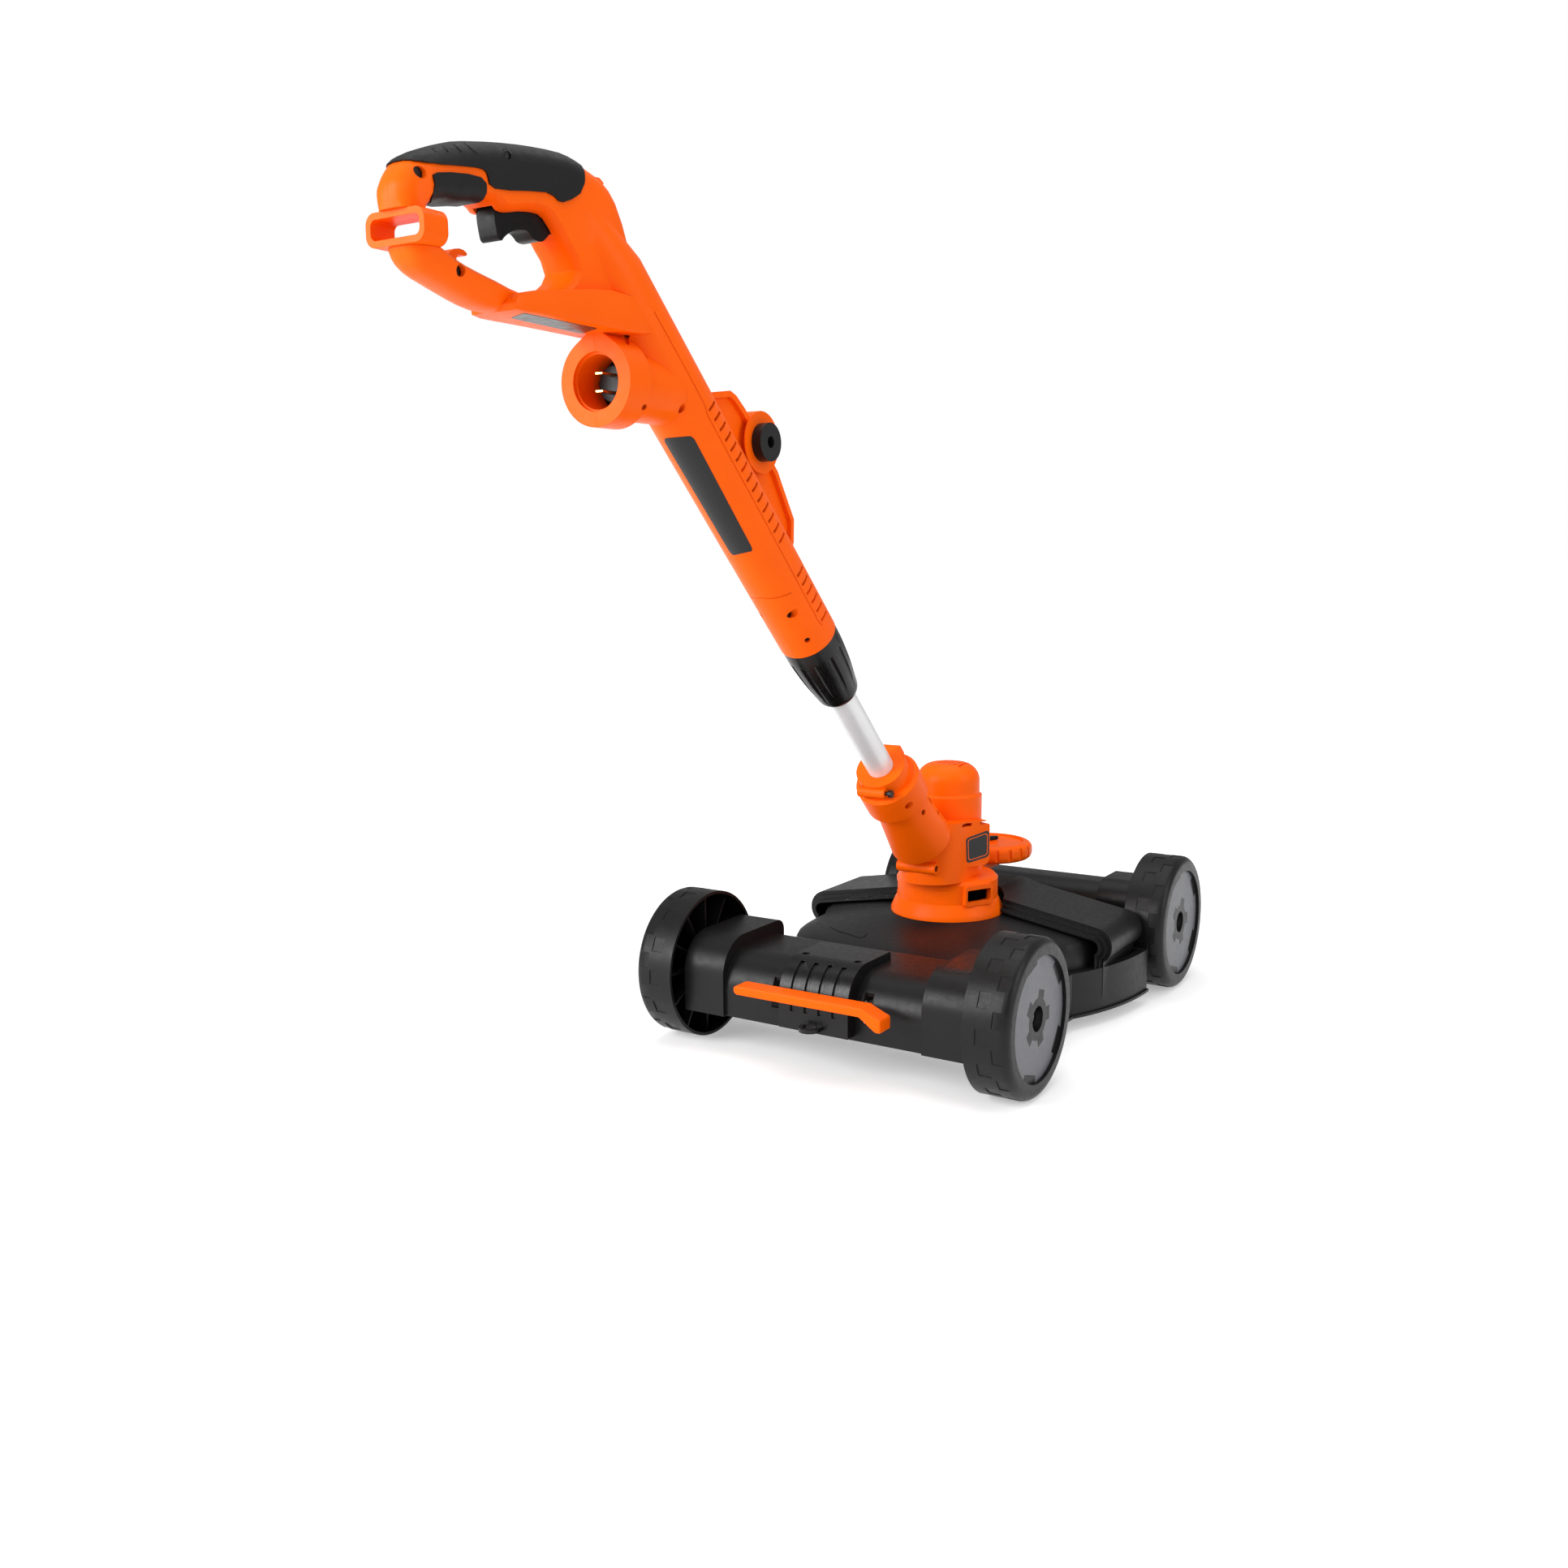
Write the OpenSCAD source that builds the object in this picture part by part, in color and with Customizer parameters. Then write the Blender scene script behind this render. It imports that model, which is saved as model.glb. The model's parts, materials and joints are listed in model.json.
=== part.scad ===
// Wheeled string trimmer: a cutting deck on four wheels with the trimmer seated in it.
// Millimetres, height upward, the part's middle on the ground at the origin.

/* [Wheels] */
// Wheel diameter
wheel_d = 152; // [76:1:243.2]
// Wheel width
wheel_w = 45; // [22.5:1:72]
// Overall width over the wheels
track_w = 412.2; // [206.1:1:659.52]
// Distance between the two axles
wheelbase = 414.6; // [207.3:1:663.36]
// Inset of the front left wheel
left_inset = 57; // [28.5:1:91.2]
// Axle rod diameter
axle_d = 10; // [5:0.1:16]
// Hub cap diameter
cap_d = 119.4; // [59.7:1:191.04]

/* [Deck] */
// Wall thickness of the deck moulding
deck_wall = 3; // [1.5:0.1:4.8]
// Rear beam's reach behind the axle
beam_over = 50.7; // [25.35:1:81.12]
// Rear beam's reach ahead of the axle
beam_ahead = 55.3; // [27.65:1:88.48]
// Height of the rear beam's lower edge
beam_bottom = 41; // [20.5:1:65.6]
// Height of the top of the rear beam
beam_top = 104; // [52:1:166.4]
// Rounding of the rear beam's rear edge
beam_round = 38; // [19:1:60.8]
// Height of the rear end blocks
block_top = 118; // [59:1:188.8]
// Front beam's reach behind the axle
fbeam_over = 31.3; // [15.65:1:50.08]
// Front beam's reach ahead of the axle
fbeam_ahead = 38.7; // [19.35:1:61.92]
// Height of the front beam's lower edge
fbeam_bottom = 56; // [28:1:89.6]
// Height of the top of the front beam
fbeam_top = 115; // [57.5:1:184]
// Height of the front end blocks
fblock_top = 122; // [61:1:195.2]
// Depth of the dome
arch_deep = 104; // [52:1:166.4]
// Front edge of the dome behind the front axle
arch_gap = 83.3; // [41.65:1:133.28]
// Dome's side inside the wheel faces
arch_in = 20.1; // [10.05:1:32.16]
// Where the dome's slope starts from the middle
arch_x = 65; // [32.5:1:104]
// Height of the dome where its slope starts
arch_z = 122; // [61:1:195.2]
// Height of the dome's lower edge
arch_bottom = 30; // [15:1:48]
// Height of the floor between dome and front beam
floor_z = 92; // [46:1:147.2]
// Front corner of the side arm inside the wheel faces
arm_in = 13.1; // [6.55:0.1:20.96]
// Front corner of the side arm behind the front axle
arm_gap = 82.3; // [41.15:1:131.68]
// Plan radius of the side arm
arm_r = 281; // [140.5:1:449.6]
// Root of the side arm inside the end blocks
arm_root_in = 7.5; // [3.75:0.1:12]
// Height of the arm's lower edge
arm_bottom = 14; // [7:0.1:22.4]
// Height of the arm's rim
arm_top = 62; // [31:1:99.2]

/* [Latch and pedal] */
// Width of the latch cover
cover_w = 77; // [38.5:1:123.2]
// Latch cover's reach behind the axle
cover_over = 64.7; // [32.35:1:103.52]
// Latch cover's reach ahead of the axle
cover_ahead = 20.3; // [10.15:1:32.48]
// Height of the latch cover
cover_top = 112; // [56:1:179.2]
// Lower edge of the latch cover
cover_bottom = 46; // [23:1:73.6]
// Reach of the pedal bar to the left
pedal_left = 75; // [37.5:1:120]
// Reach of the pedal bar to the right
pedal_right = 87; // [43.5:1:139.2]
// Depth of the pedal bar
pedal_deep = 21; // [10.5:1:33.6]
// Height of the pedal bar's top
pedal_top = 88; // [44:1:140.8]
// Pedal pin behind the rear axle
pin_over = 28.7; // [14.35:1:45.92]
// Height of the pedal pin
pin_z = 68; // [34:1:108.8]

/* [Head] */
// Motor axis ahead of the middle
head_y = 15; // [7.5:0.1:24]
// Height of the top of the motor housing
dome_top = 272; // [136:1:435.2]
// Diameter of the motor housing
motor_d = 74; // [37:1:118.4]
// Diameter of the motor housing's crown
crown_d = 69; // [34.5:1:110.4]
// Height of the step below the crown
crown_z = 237; // [118.5:1:379.2]
// Diameter of the base ring
base_d = 124; // [62:1:198.4]
// Diameter of the upright wall of the base
base_wall_d = 111; // [55.5:1:177.6]
// Height of the lower edge of the base
base_z = 107; // [53.5:1:171.2]
// Height of the top of the base
base_top = 150; // [75:1:240]
// Height of the housing behind the motor
body_top = 214; // [107:1:342.4]
// Wall thickness of the motor housing
head_wall = 3; // [1.5:0.1:4.8]
// Guard's side inside the side arm's corner
guard_in = 24; // [12:1:38.4]
// Gap between the guard and the rear beam
guard_gap = 6; // [3:0.1:9.6]
// Height of the guard's lower edge
guard_edge_z = 60; // [30:1:96]
// Diameter of the edge guide wheel
edge_wheel_d = 101; // [50.5:1:161.6]
// Thickness of the edge guide wheel
edge_wheel_t = 20; // [10:1:32]
// Edge guide wheel ahead of the middle
edge_wheel_y = 122; // [61:1:195.2]
// Height of the underside of the edge guide wheel
edge_wheel_z = 147; // [73.5:1:235.2]

/* [Cutting head] */
// Diameter of the motor shaft
shaft_d = 8; // [4:0.1:12.8]
// Diameter of the cooling fan
fan_d = 92; // [46:1:147.2]
// Diameter of the spool housing
spool_case_d = 84; // [42:1:134.4]
// Height of the spool housing
spool_case_h = 46; // [23:1:73.6]
// Height of the spool housing's lower edge
spool_case_z = 54; // [27:1:86.4]
// Diameter of the spool
spool_d = 66; // [33:1:105.6]
// Diameter of the cutting line
line_d = 2; // [1:0.1:3.2]
// Length of the line cutter
cutter_len = 3; // [1.5:0.1:4.8]

/* [Tube and collet] */
// Tube's reference point behind the middle
pole_y = 146.6; // [73.3:1:234.56]
// Height of the tube's reference point
pole_z = 294.1; // [147.05:1:470.56]
// Lean of the tube from upright, in degrees
pole_lean = 45; // [22.5:1:72]
// Tube diameter
tube_d = 27; // [13.5:1:43.2]
// Length of the tube below the reference point
tube_low = 72; // [36:1:115.2]
// Length of the tube above the reference point
tube_up = 470; // [235:1:752]
// Top of the clamp ring below the reference point
ring_top = 11; // [5.5:0.1:17.6]
// Diameter of the clamp ring
ring_d = 52; // [26:1:83.2]
// Diameter of the band below the clamp ring
band_d = 67; // [33.5:1:107.2]
// Diameter of the elbow below the band
elbow_d = 61; // [30.5:1:97.6]
// Lower end of the collet nut along the tube
collet_low = 103; // [51.5:1:164.8]
// Length of the collet nut
collet_h = 82; // [41:1:131.2]
// Diameter of the collet nut
collet_d = 54; // [27:1:86.4]

/* [Handle] */
// Diameter of the handle's barrel
barrel_d = 55; // [27.5:1:88]
// Upper end of the barrel along the tube
barrel_up = 612; // [306:1:979.2]
// Rear end of the handle behind the middle
grip_back = 760; // [380:1:1216]
// Height of the lowest line of the handle loop
grip_bottom = 653; // [326.5:1:1044.8]
// Length of the handle loop
grip_len = 230; // [115:1:368]
// Height of the handle loop
grip_h = 122.5; // [61.25:1:196]
// Half thickness of the handle loop
grip_half = 17.5; // [8.75:0.1:28]
// Width of the cord ring
ring_w = 51; // [25.5:1:81.6]
// Height of the middle of the cord ring
ring_z = 700.5; // [350.25:1:1120.8]
// Lower end of the fin along the tube
fin_low = 262; // [131:1:419.2]
// Length of the fin along the tube
fin_len = 178; // [89:1:284.8]
// Height of the fin over the tube's axis
fin_h = 62; // [31:1:99.2]
// Diameter of the bush in the fin's boss
puck_d = 32; // [16:1:51.2]
// Bore of the bush
puck_bore = 10; // [5:0.1:16]

/* [Trigger] */
// Length of the trigger
trig_len = 63; // [31.5:1:100.8]
// Height of the trigger
trig_tall = 26; // [13:1:41.6]
// Trigger pin behind the middle
trig_pin_back = 614; // [307:1:982.4]
// Height of the trigger pin
trig_pin_z = 731; // [365.5:1:1169.6]

/* [Power inlet] */
// Face of the power inlet behind the middle
inlet_back = 569; // [284.5:1:910.4]
// Height of the power inlet's axis
inlet_z = 625; // [312.5:1:1000]
// Outer diameter of the inlet's collar
inlet_d = 65; // [32.5:1:104]
// Bore of the inlet
inlet_bore_d = 39.4; // [19.7:1:63.04]
// Spacing of the inlet blades
blade_pitch = 12.7; // [6.35:0.1:20.32]

/* [Fits] */
// Radial clearance of running fits
run_gap = 0.05; // [0.03:0.01:0.08]
// Clearance between pieces that pass each other
free_gap = 0.5; // [0.25:0.01:0.8]
// Clearance between pieces that are fixed together
seat_gap = 0.1; // [0.05:0.01:0.16]
// Diameter of the housing screws
screw_d = 4; // [2:0.1:6.4]
// Diameter of the heads of the housing screws
screw_head_d = 7.4; // [3.7:0.1:11.84]

/* [Hidden] */
$fn = 64;
// Wheels: smaller sizes
cap_t = 2.4;
cap_drop = 3.7;
tip_drop = 12;
wheel_wall = 3.2;
shoulder_r = 9;
hub_d = 30;
tip_bore_d = 24;
lobe_d = 40;
lobe_reach = 7;
lobe_w = 13;
tab_w = 27;
tab_depth = 8;
tread_len = 15;
tread_w = 13;
tread_depth = 1;
wheel_rib_t = 2.2;
nut_d = 18;
nut_t = 4;
// Deck: smaller sizes
beam_round_front = 12;
block_w = 47.5;
block_gap = 2.6;
block_proud = 4;
fbeam_round = 25;
fblock_w = 42.5;
fblock_long = 8;
arch_flank_r = 20;
arch_rise = 6;
rim_step = 4.5;
rim_pitch = 5;
arm_bend_y = 10;
arm_rim_w = 9;
arm_rim_t = 4;
arm_lip_w = 2.5;
arm_lip_t = 3;
bore_boss_d = 22;
// Latch and pedal: smaller sizes
cover_round = 36;
cover_rib = 5;
cover_groove = 2;
loop_d = 22;
loop_t = 4;
pedal_gap = 4;
pedal_t = 9;
pedal_skin = 3;
pedal_drop = 21;
pedal_arm_x = 51;
pedal_arm_w = 9;
pin_d = 6;
latch_w = 24;
latch_t = 5;
// Head: smaller sizes
crown_round = 20;
base_flare_h = 17;
body_back = 37;
badge_w = 46;
badge_h = 50;
badge_z = 188;
badge_proud = 8;
badge_turn = 27;
slot_h = 3.4;
slot_z = 208;
window_w = 31;
window_h = 13;
guard_t = 3;
guard_flange = 14;
edge_pin_d = 10;
bracket_w = 30;
bracket_t = 7;
// Cutting head: smaller sizes
can_d = 60;
can_h = 74;
can_wall = 9;
rotor_d = 38;
bearing_d = 22;
bearing_t = 7;
fan_h = 16;
spool_wall = 2.6;
spool_h = 26;
cap_knob_d = 40;
cap_knob_h = 11;
// Tube and collet: smaller sizes
tube_wall = 2.2;
groove_w = 5;
groove_depth = 1.3;
ring_h = 17;
band_h = 36;
elbow_h = 72;
collet_mouth_d = 33;
flute_d = 7;
nut_neck_d = 45;
sleeve_d = 36;
// Handle: smaller sizes
barrel_wall = 3;
grip_round = 13;
hole_round = 9;
wedge_half = 25;
wedge_round = 2.5;
pad_t = 1.3;
ring_tall = 21;
ring_in = 3;
ring_deep = 20;
ring_wall = 4.2;
fin_half = 7;
fin_web = 3;
fin_rim = 5;
boss_t = 364;
boss_h = 58;
boss_d = 52;
boss_half = 9;
puck_proud = 9;
// Trigger: smaller sizes
trig_half = 8;
trig_pin_d = 4;
trig_room = 13;
switch_len = 28;
switch_h = 12.5;
// Power inlet: smaller sizes
inlet_point = 39;
inlet_deep = 25;
inlet_hole = 34;
inlet_neck_d = 52;
holder_d = 26;
holder_len = 14;
blade_w = 6.4;
blade_t = 1.5;
blade_len = 16;
// Overrun of every cut past the face it opens
over = 1;
orange = [0.94, 0.30, 0.05];
black = [0.07, 0.07, 0.075];
dark = [0.13, 0.13, 0.14];
grey = [0.46, 0.47, 0.52];
steel = [0.72, 0.73, 0.75];
alloy = [0.86, 0.86, 0.87];
brass = [0.80, 0.63, 0.28];
copper = [0.72, 0.42, 0.22];

// Wheel places
wheel_r = wheel_d / 2;
axle_z = wheel_r;
rear_y = -wheelbase / 2;
front_y = wheelbase / 2;
face_x = track_w / 2;
inner_x = face_x - wheel_w;
cap_r = cap_d / 2;
cap_floor = cap_drop + cap_t;
tip_x = face_x - tip_drop;
tip_floor = tip_drop + nut_t;
lobes = 5;
tread_count = 14;
wheel_ribs = 12;

// Deck places
block_out = inner_x - block_gap;
block_x = block_out - block_w;
fblock_x = block_out - fblock_w;
beam_back = beam_over - rear_y;
beam_front = -rear_y - beam_ahead;
cover_back = cover_over - rear_y;
cover_front = -rear_y - cover_ahead;
pin_back = pin_over - rear_y;
fbeam_back = front_y - fbeam_over;
fbeam_front = front_y + fbeam_ahead;
arch_front = front_y - arch_gap;
arch_back = arch_front - arch_deep;
arch_half = face_x - arch_in;
arm_tip_x = face_x - arm_in;
arm_tip_y = front_y - arm_gap;
arm_root_x = block_out - arm_root_in;
guard_half = arm_tip_x - guard_in;
guard_back = head_y + beam_front - guard_gap;
function inset_at(side, y) = side < 0 && y > 0 ? left_inset : 0;
arm_cx = arm_tip_x - arm_r;
arm_bend_x = arm_cx + sqrt(arm_r * arm_r - (arm_tip_y + arm_bend_y) * (arm_tip_y + arm_bend_y));
flank_x = arch_half - arch_flank_r;
slope_share = 0.172;
curl_share = 0.55;
slope_run = sqrt(1 + slope_share * slope_share);
flank_z = arch_z - (flank_x - arch_x) * slope_share - arch_flank_r * slope_run;

// Head places
motor_r = motor_d / 2;
can_z = base_top + head_wall;
shaft_top = crown_z + bearing_t + head_wall;
fan_z = base_z + head_wall + fan_h / 4;
base_cut_r = base_d / 2 + free_gap;

// Tube places
ring_low = -ring_top - ring_h;
band_low = ring_low - band_h;
elbow_low = band_low - elbow_h;
barrel_low = collet_low + collet_h + free_gap;
neck_len = collet_h * 0.44;
barrel_r = barrel_d / 2;
tube_r = tube_d / 2;

// Draws a side outline along the width
module along_x(x0, x1) {
  translate([x0, 0, 0]) rotate([90, 0, 90]) linear_extrude(x1 - x0) children();
}

// Draws a cross outline along the length
module along_y(y0, y1) {
  translate([0, y1, 0]) rotate([90, 0, 0]) linear_extrude(y1 - y0) children();
}

// Turns a rod to lie across the part
module rod_x(x0, x1, d) {
  translate([x0, 0, 0]) rotate([0, 90, 0]) cylinder(d = d, h = x1 - x0);
}

// Moves a piece to the finished frame
module placed() {
  translate([0, y_shift, 0]) children();
}

// Frame of the tube, with its axis upward
module on_pole() {
  translate([0, -pole_y, pole_z]) rotate([pole_lean, 0, 0]) children();
}

// Frame of the motor axis
module on_head() {
  translate([0, head_y, 0]) children();
}

// Closed curve through hand-chosen points
function curve(a, b, c, d, u) =
  0.5 * (2 * b + (c - a) * u + (2 * a - 5 * b + 4 * c - d) * u * u + (3 * b - a - 3 * c + d) * u * u *
      u);
function smooth_loop(p, n) = let (m = len(p))
  [for (i = [0:m - 1]) for (k = [0:n - 1])
    curve(p[(i + m - 1) % m], p[i], p[(i + 1) % m], p[(i + 2) % m], k / n)];
function smooth_line(p, n) = let (m = len(p))
  concat([for (i = [0:m - 2]) for (k = [0:n - 1])
    curve(p[max(i - 1, 0)], p[i], p[i + 1], p[min(i + 2, m - 1)], k / n)], [p[m - 1]]);

// The loop moved inward by a distance
function inset_loop(p, d) = let (m = len(p))
  [for (i = [0:m - 1])
    let (a = p[(i + m - 1) % m], b = p[(i + 1) % m], t = (b - a) / norm(b - a))
        p[i] + d * [-t[1], t[0]]];
function middle(p) = [for (k = [0:len(p[0]) - 1]) [for (q = p) 1] * [for (q = p) q[k]] / len(p)];

// Slab with rounded edges: each layer has its place across and its inset
function half_layers(w, r, n) =
  concat([[0, 0], [w - r, 0]], [for (k = [1:n]) [w - r + r * sin(90 * k / n),
      r * (1 - cos(90 * k / n))]]);
function full_layers(w, r, n) = let (h = half_layers(w, r, n), m = len(h))
  concat([for (k = [m - 1:-1:1]) [-h[k][0], h[k][1]]], [for (k = [1:m - 1]) h[k]]);
function flared_layers(w, r, n) =
  concat([[-over, 0], [w - r, 0]],
    [for (k = [1:n]) [w - r + r * sin(90 * k / n), -r * (1 - cos(90 * k / n))]],
        [[w + over, -r - over]]);
module slab(loop, layers) {
  n = len(loop);
  m = len(layers);
  c = middle(loop);
  pts = concat(
    [for (q = layers) for (p = inset_loop(loop, q[1])) [q[0], p[0], p[1]]],
    [[layers[0][0], c[0], c[1]], [layers[m - 1][0], c[0], c[1]]]);
  sides = [for (k = [0:m - 2]) for (i = [0:n - 1]) let (j = (i + 1) % n)
    each [[k * n + i, (k + 1) * n + i, (k + 1) * n + j], [k * n + i, (k + 1) * n + j, k * n + j]]];
  caps = [for (i = [0:n - 1]) let (j = (i + 1) % n)
    each [[m * n, i, j], [m * n + 1, (m - 1) * n + j, (m - 1) * n + i]]];
  polyhedron(pts, concat(sides, caps));
}

// Shell between two grids of points with the same rows
module grid_shell(outer, inner) {
  r = len(outer);
  c = len(outer[0]);
  s = r * c;
  pts = concat([for (q = outer) each q], [for (q = inner) each q]);
  skin = [for (i = [0:r - 2]) for (k = [0:c - 2]) let (a = i * c + k)
    each [[a, a + c, a + c + 1], [a, a + c + 1, a + 1],
      [s + a, s + a + c + 1, s + a + c], [s + a, s + a + 1, s + a + c + 1]]];
  ends = [for (k = [0:c - 2]) let (b = (r - 1) * c + k)
    each [[k, k + 1, s + k + 1], [k, s + k + 1, s + k],
      [b, s + b + 1, b + 1], [b, s + b, s + b + 1]]];
  brims = [for (i = [0:r - 2]) let (a = i * c, b = i * c + c - 1)
    each [[a, s + a, s + a + c], [a, s + a + c, a + c],
      [b, s + b + c, s + b], [b, b + c, s + b + c]]];
  polyhedron(pts, concat(skin, ends, brims));
}

// Box outline with two rounded upper corners
module round_top(y0, y1, z0, z1, ra, rb) {
  difference() {
    translate([y0, z0]) square([y1 - y0, z1 - z0]);
    translate([y0, z1 - ra]) corner_waste(ra);
    translate([y1, z1 - rb]) mirror([1, 0]) corner_waste(rb);
  }
}

// What a rounded corner takes off a square one
module corner_waste(r) {
  difference() {
    translate([-over, 0]) square([r + over, r + over]);
    translate([r, 0]) circle(r);
  }
}

// Rectangle outline with four round corners
module round_rect(w, h, r) {
  square([w - 2 * r, h], center = true);
  square([w, h - 2 * r], center = true);
  for (sx = [-1, 1], sy = [-1, 1]) {
    translate([sx * (w / 2 - r), sy * (h / 2 - r)]) circle(r);
  }
}

// Five-lobed outline of the wheel boss
module lobe_outline(gap) {
  circle(d = lobe_d + 2 * gap);
  for (i = [0:lobes - 1]) {
    rotate(i * 360 / lobes + 90) translate([0, -lobe_w / 2 - gap])
        square([lobe_d / 2 + lobe_reach + gap, lobe_w + 2 * gap]);
  }
}

// Tabs that show in the rim of the hub cap
module tab_outline(gap, reach) {
  intersection() {
    circle(r = reach);
    for (i = [0:lobes - 1]) {
      rotate(i * 360 / lobes + 90 + 180 / lobes) translate([cap_r - tab_depth - gap, -tab_w / 2 - gap])
        square([2 * tab_depth, tab_w + 2 * gap]);
    }
  }
}

// Half section of the wheel, with its outer face at zero
module wheel_section() {
  step_r = cap_r + seat_gap;
  translate([wheel_r - wheel_wall, -wheel_w]) square([wheel_wall, wheel_w - shoulder_r]);
  intersection() {
    difference() {
      translate([wheel_r - shoulder_r, -shoulder_r]) circle(shoulder_r);
      translate([wheel_r - shoulder_r, -shoulder_r]) circle(shoulder_r - wheel_wall);
    }
    translate([wheel_r - shoulder_r, -shoulder_r]) square(shoulder_r);
  }
  translate([step_r, -wheel_wall]) square([wheel_r - shoulder_r - step_r, wheel_wall]);
  translate([step_r, -cap_floor - wheel_wall]) square([wheel_wall, cap_floor + wheel_wall]);
  translate([tip_bore_d / 2, -cap_floor - wheel_wall])
      square([step_r - tip_bore_d / 2 + wheel_wall, wheel_wall]);
  translate([tip_bore_d / 2, -tip_floor - wheel_wall])
      square([(hub_d - tip_bore_d) / 2, tip_floor + wheel_wall - cap_floor]);
  translate([axle_d / 2 + run_gap, -wheel_w])
      square([hub_d / 2 - axle_d / 2 - run_gap, wheel_w - tip_floor]);
}

// Wheel with its outer face at zero and its axis upward
module wheel_body() {
  difference() {
    union() {
      rotate_extrude() wheel_section();
      translate([0, 0, -cap_floor]) linear_extrude(cap_t) difference() {
        lobe_outline(0);
        circle(d = tip_bore_d);
      }
      translate([0, 0, -cap_floor]) linear_extrude(cap_t) tab_outline(0, cap_r + wheel_wall / 2);
      for (i = [0:wheel_ribs - 1]) {
        rotate(i * 360 / wheel_ribs) translate([hub_d / 2 - wheel_wall / 2, -wheel_rib_t / 2,
            -wheel_w + shoulder_r])
          cube([wheel_r - hub_d / 2, wheel_rib_t, wheel_w - shoulder_r - cap_floor - wheel_wall / 2]);
      }
    }
    for (i = [0:tread_count - 1]) {
      rotate(i * 360 / tread_count) translate([wheel_r - tread_depth, -tread_len / 2,
          -tread_w - wheel_wall])
        cube([tread_depth + over, tread_len, tread_w + wheel_wall + over]);
      rotate((i + 0.5) * 360 / tread_count) translate([wheel_r - tread_depth, -tread_len / 2,
          tread_w - wheel_w])
        cube([tread_depth + over, tread_len, tread_w]);
    }
  }
}

// Puts a wheel piece at its corner: side is 1 for right, -1 for left
module at_wheel(side, y) {
  placed() translate([side * (face_x - inset_at(side, y)), y, axle_z]) rotate([0, side * 90, 0])
      children();
}

module wheel_rear_left() color(black) at_wheel(-1, rear_y) wheel_body();
module wheel_rear_right() color(black) at_wheel(1, rear_y) wheel_body();
module wheel_front_left() color(black) at_wheel(-1, front_y) wheel_body();
module wheel_front_right() color(black) at_wheel(1, front_y) wheel_body();

// Grey disc let into the wheel face
module cap_body() {
  translate([0, 0, -cap_floor + seat_gap]) linear_extrude(cap_t - seat_gap) difference() {
    circle(r = cap_r);
    lobe_outline(seat_gap);
    tab_outline(seat_gap, wheel_r);
  }
}
module hub_cap_rear_left() color(grey) at_wheel(-1, rear_y) cap_body();
module hub_cap_rear_right() color(grey) at_wheel(1, rear_y) cap_body();
module hub_cap_front_left() color(grey) at_wheel(-1, front_y) cap_body();
module hub_cap_front_right() color(grey) at_wheel(1, front_y) cap_body();

// Axle rods and the domed nuts on their tips
module rear_axle() color(steel) placed() translate([0, rear_y, axle_z]) rod_x(-tip_x, tip_x, axle_d);
module front_axle() color(steel) placed() translate([0, front_y, axle_z])
    rod_x(left_inset - tip_x, tip_x, axle_d);
module push_nut() {
  difference() {
    intersection() {
      translate([0, 0, -tip_floor + seat_gap]) cylinder(d = nut_d, h = nut_t + wheel_wall);
      translate([0, 0, -tip_floor - nut_d / 3]) sphere(d = nut_d * 1.5);
    }
    translate([0, 0, -tip_floor - over]) cylinder(d = axle_d + 2 * seat_gap,
        h = nut_t + over + seat_gap);
  }
}
module axle_push_nuts() color(dark) for (side = [-1, 1], y = [rear_y, front_y]) at_wheel(side, y)
    push_nut();

// Rear beam and its raised ends as one outline set, moved in by a wall
module rear_solid(i) {
  along_x(-block_x - deck_wall, block_x + deck_wall)
    round_top(-beam_back + i, -beam_front - i, beam_bottom - (i > 0 ? over : 0), beam_top - i,
        beam_round - i, beam_round_front - i);
  for (s = [-1, 1]) {
    along_x(min(s * (block_x + i), s * (block_out - i)), max(s * (block_x + i), s * (block_out - i)))
      round_top(-beam_back - block_proud + i, -beam_front + block_proud - i,
          beam_bottom - (i > 0 ? over : 0),
        block_top - i, beam_round - i, beam_round_front - i);
  }
}

// Front beam and its raised ends, moved in by a wall
module front_solid(i) {
  along_x(left_inset - fblock_x - deck_wall, fblock_x + deck_wall)
    round_top(fbeam_back + i, fbeam_front - i, fbeam_bottom - (i > 0 ? over : 0), fbeam_top - i,
        fbeam_round - i, fbeam_round - i);
  for (s = [-1, 1]) {
    translate([s < 0 ? left_inset : 0, 0, 0])
      along_x(min(s * (fblock_x + i), s * (block_out - i)),
          max(s * (fblock_x + i), s * (block_out - i)))
      round_top(fbeam_back - fblock_long + i, fbeam_front + fblock_long - i,
          fbeam_bottom - (i > 0 ? over : 0),
        fblock_top - i, fbeam_round - i, fbeam_round - i);
  }
}

// Cross outline of the front dome, moved in by a distance
module arch_outline(i) {
  r = arch_flank_r - i;
  tx = flank_x + r * slope_share / slope_run;
  tz = flank_z + r / slope_run;
  top = arch_z - i * slope_run;
  polygon([[-tx, tz], [-flank_x, flank_z], [-flank_x, arch_bottom - over],
      [flank_x, arch_bottom - over],
    [flank_x, flank_z], [tx, tz], [arch_x, top], [arch_x * 0.7, arch_z + arch_rise - i],
    [-arch_x * 0.7, arch_z + arch_rise - i], [-arch_x, top]]);
  for (s = [-1, 1]) {
    translate([s * flank_x, flank_z]) circle(r);
    translate([s * (flank_x + curl_share * r / 2) - curl_share * r / 2, arch_bottom - over])
      square([curl_share * r, flank_z - arch_bottom + over]);
  }
}
module arch_solid(i, y0, y1) {
  intersection() {
    along_y(y0, y1) arch_outline(i);
    translate([-arch_half - over, y0 - over, arch_bottom - (i > deck_wall ? over : 0)])
      cube([2 * (arch_half + over), y1 - y0 + 2 * over, arch_z + arch_rise]);
  }
}

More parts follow.
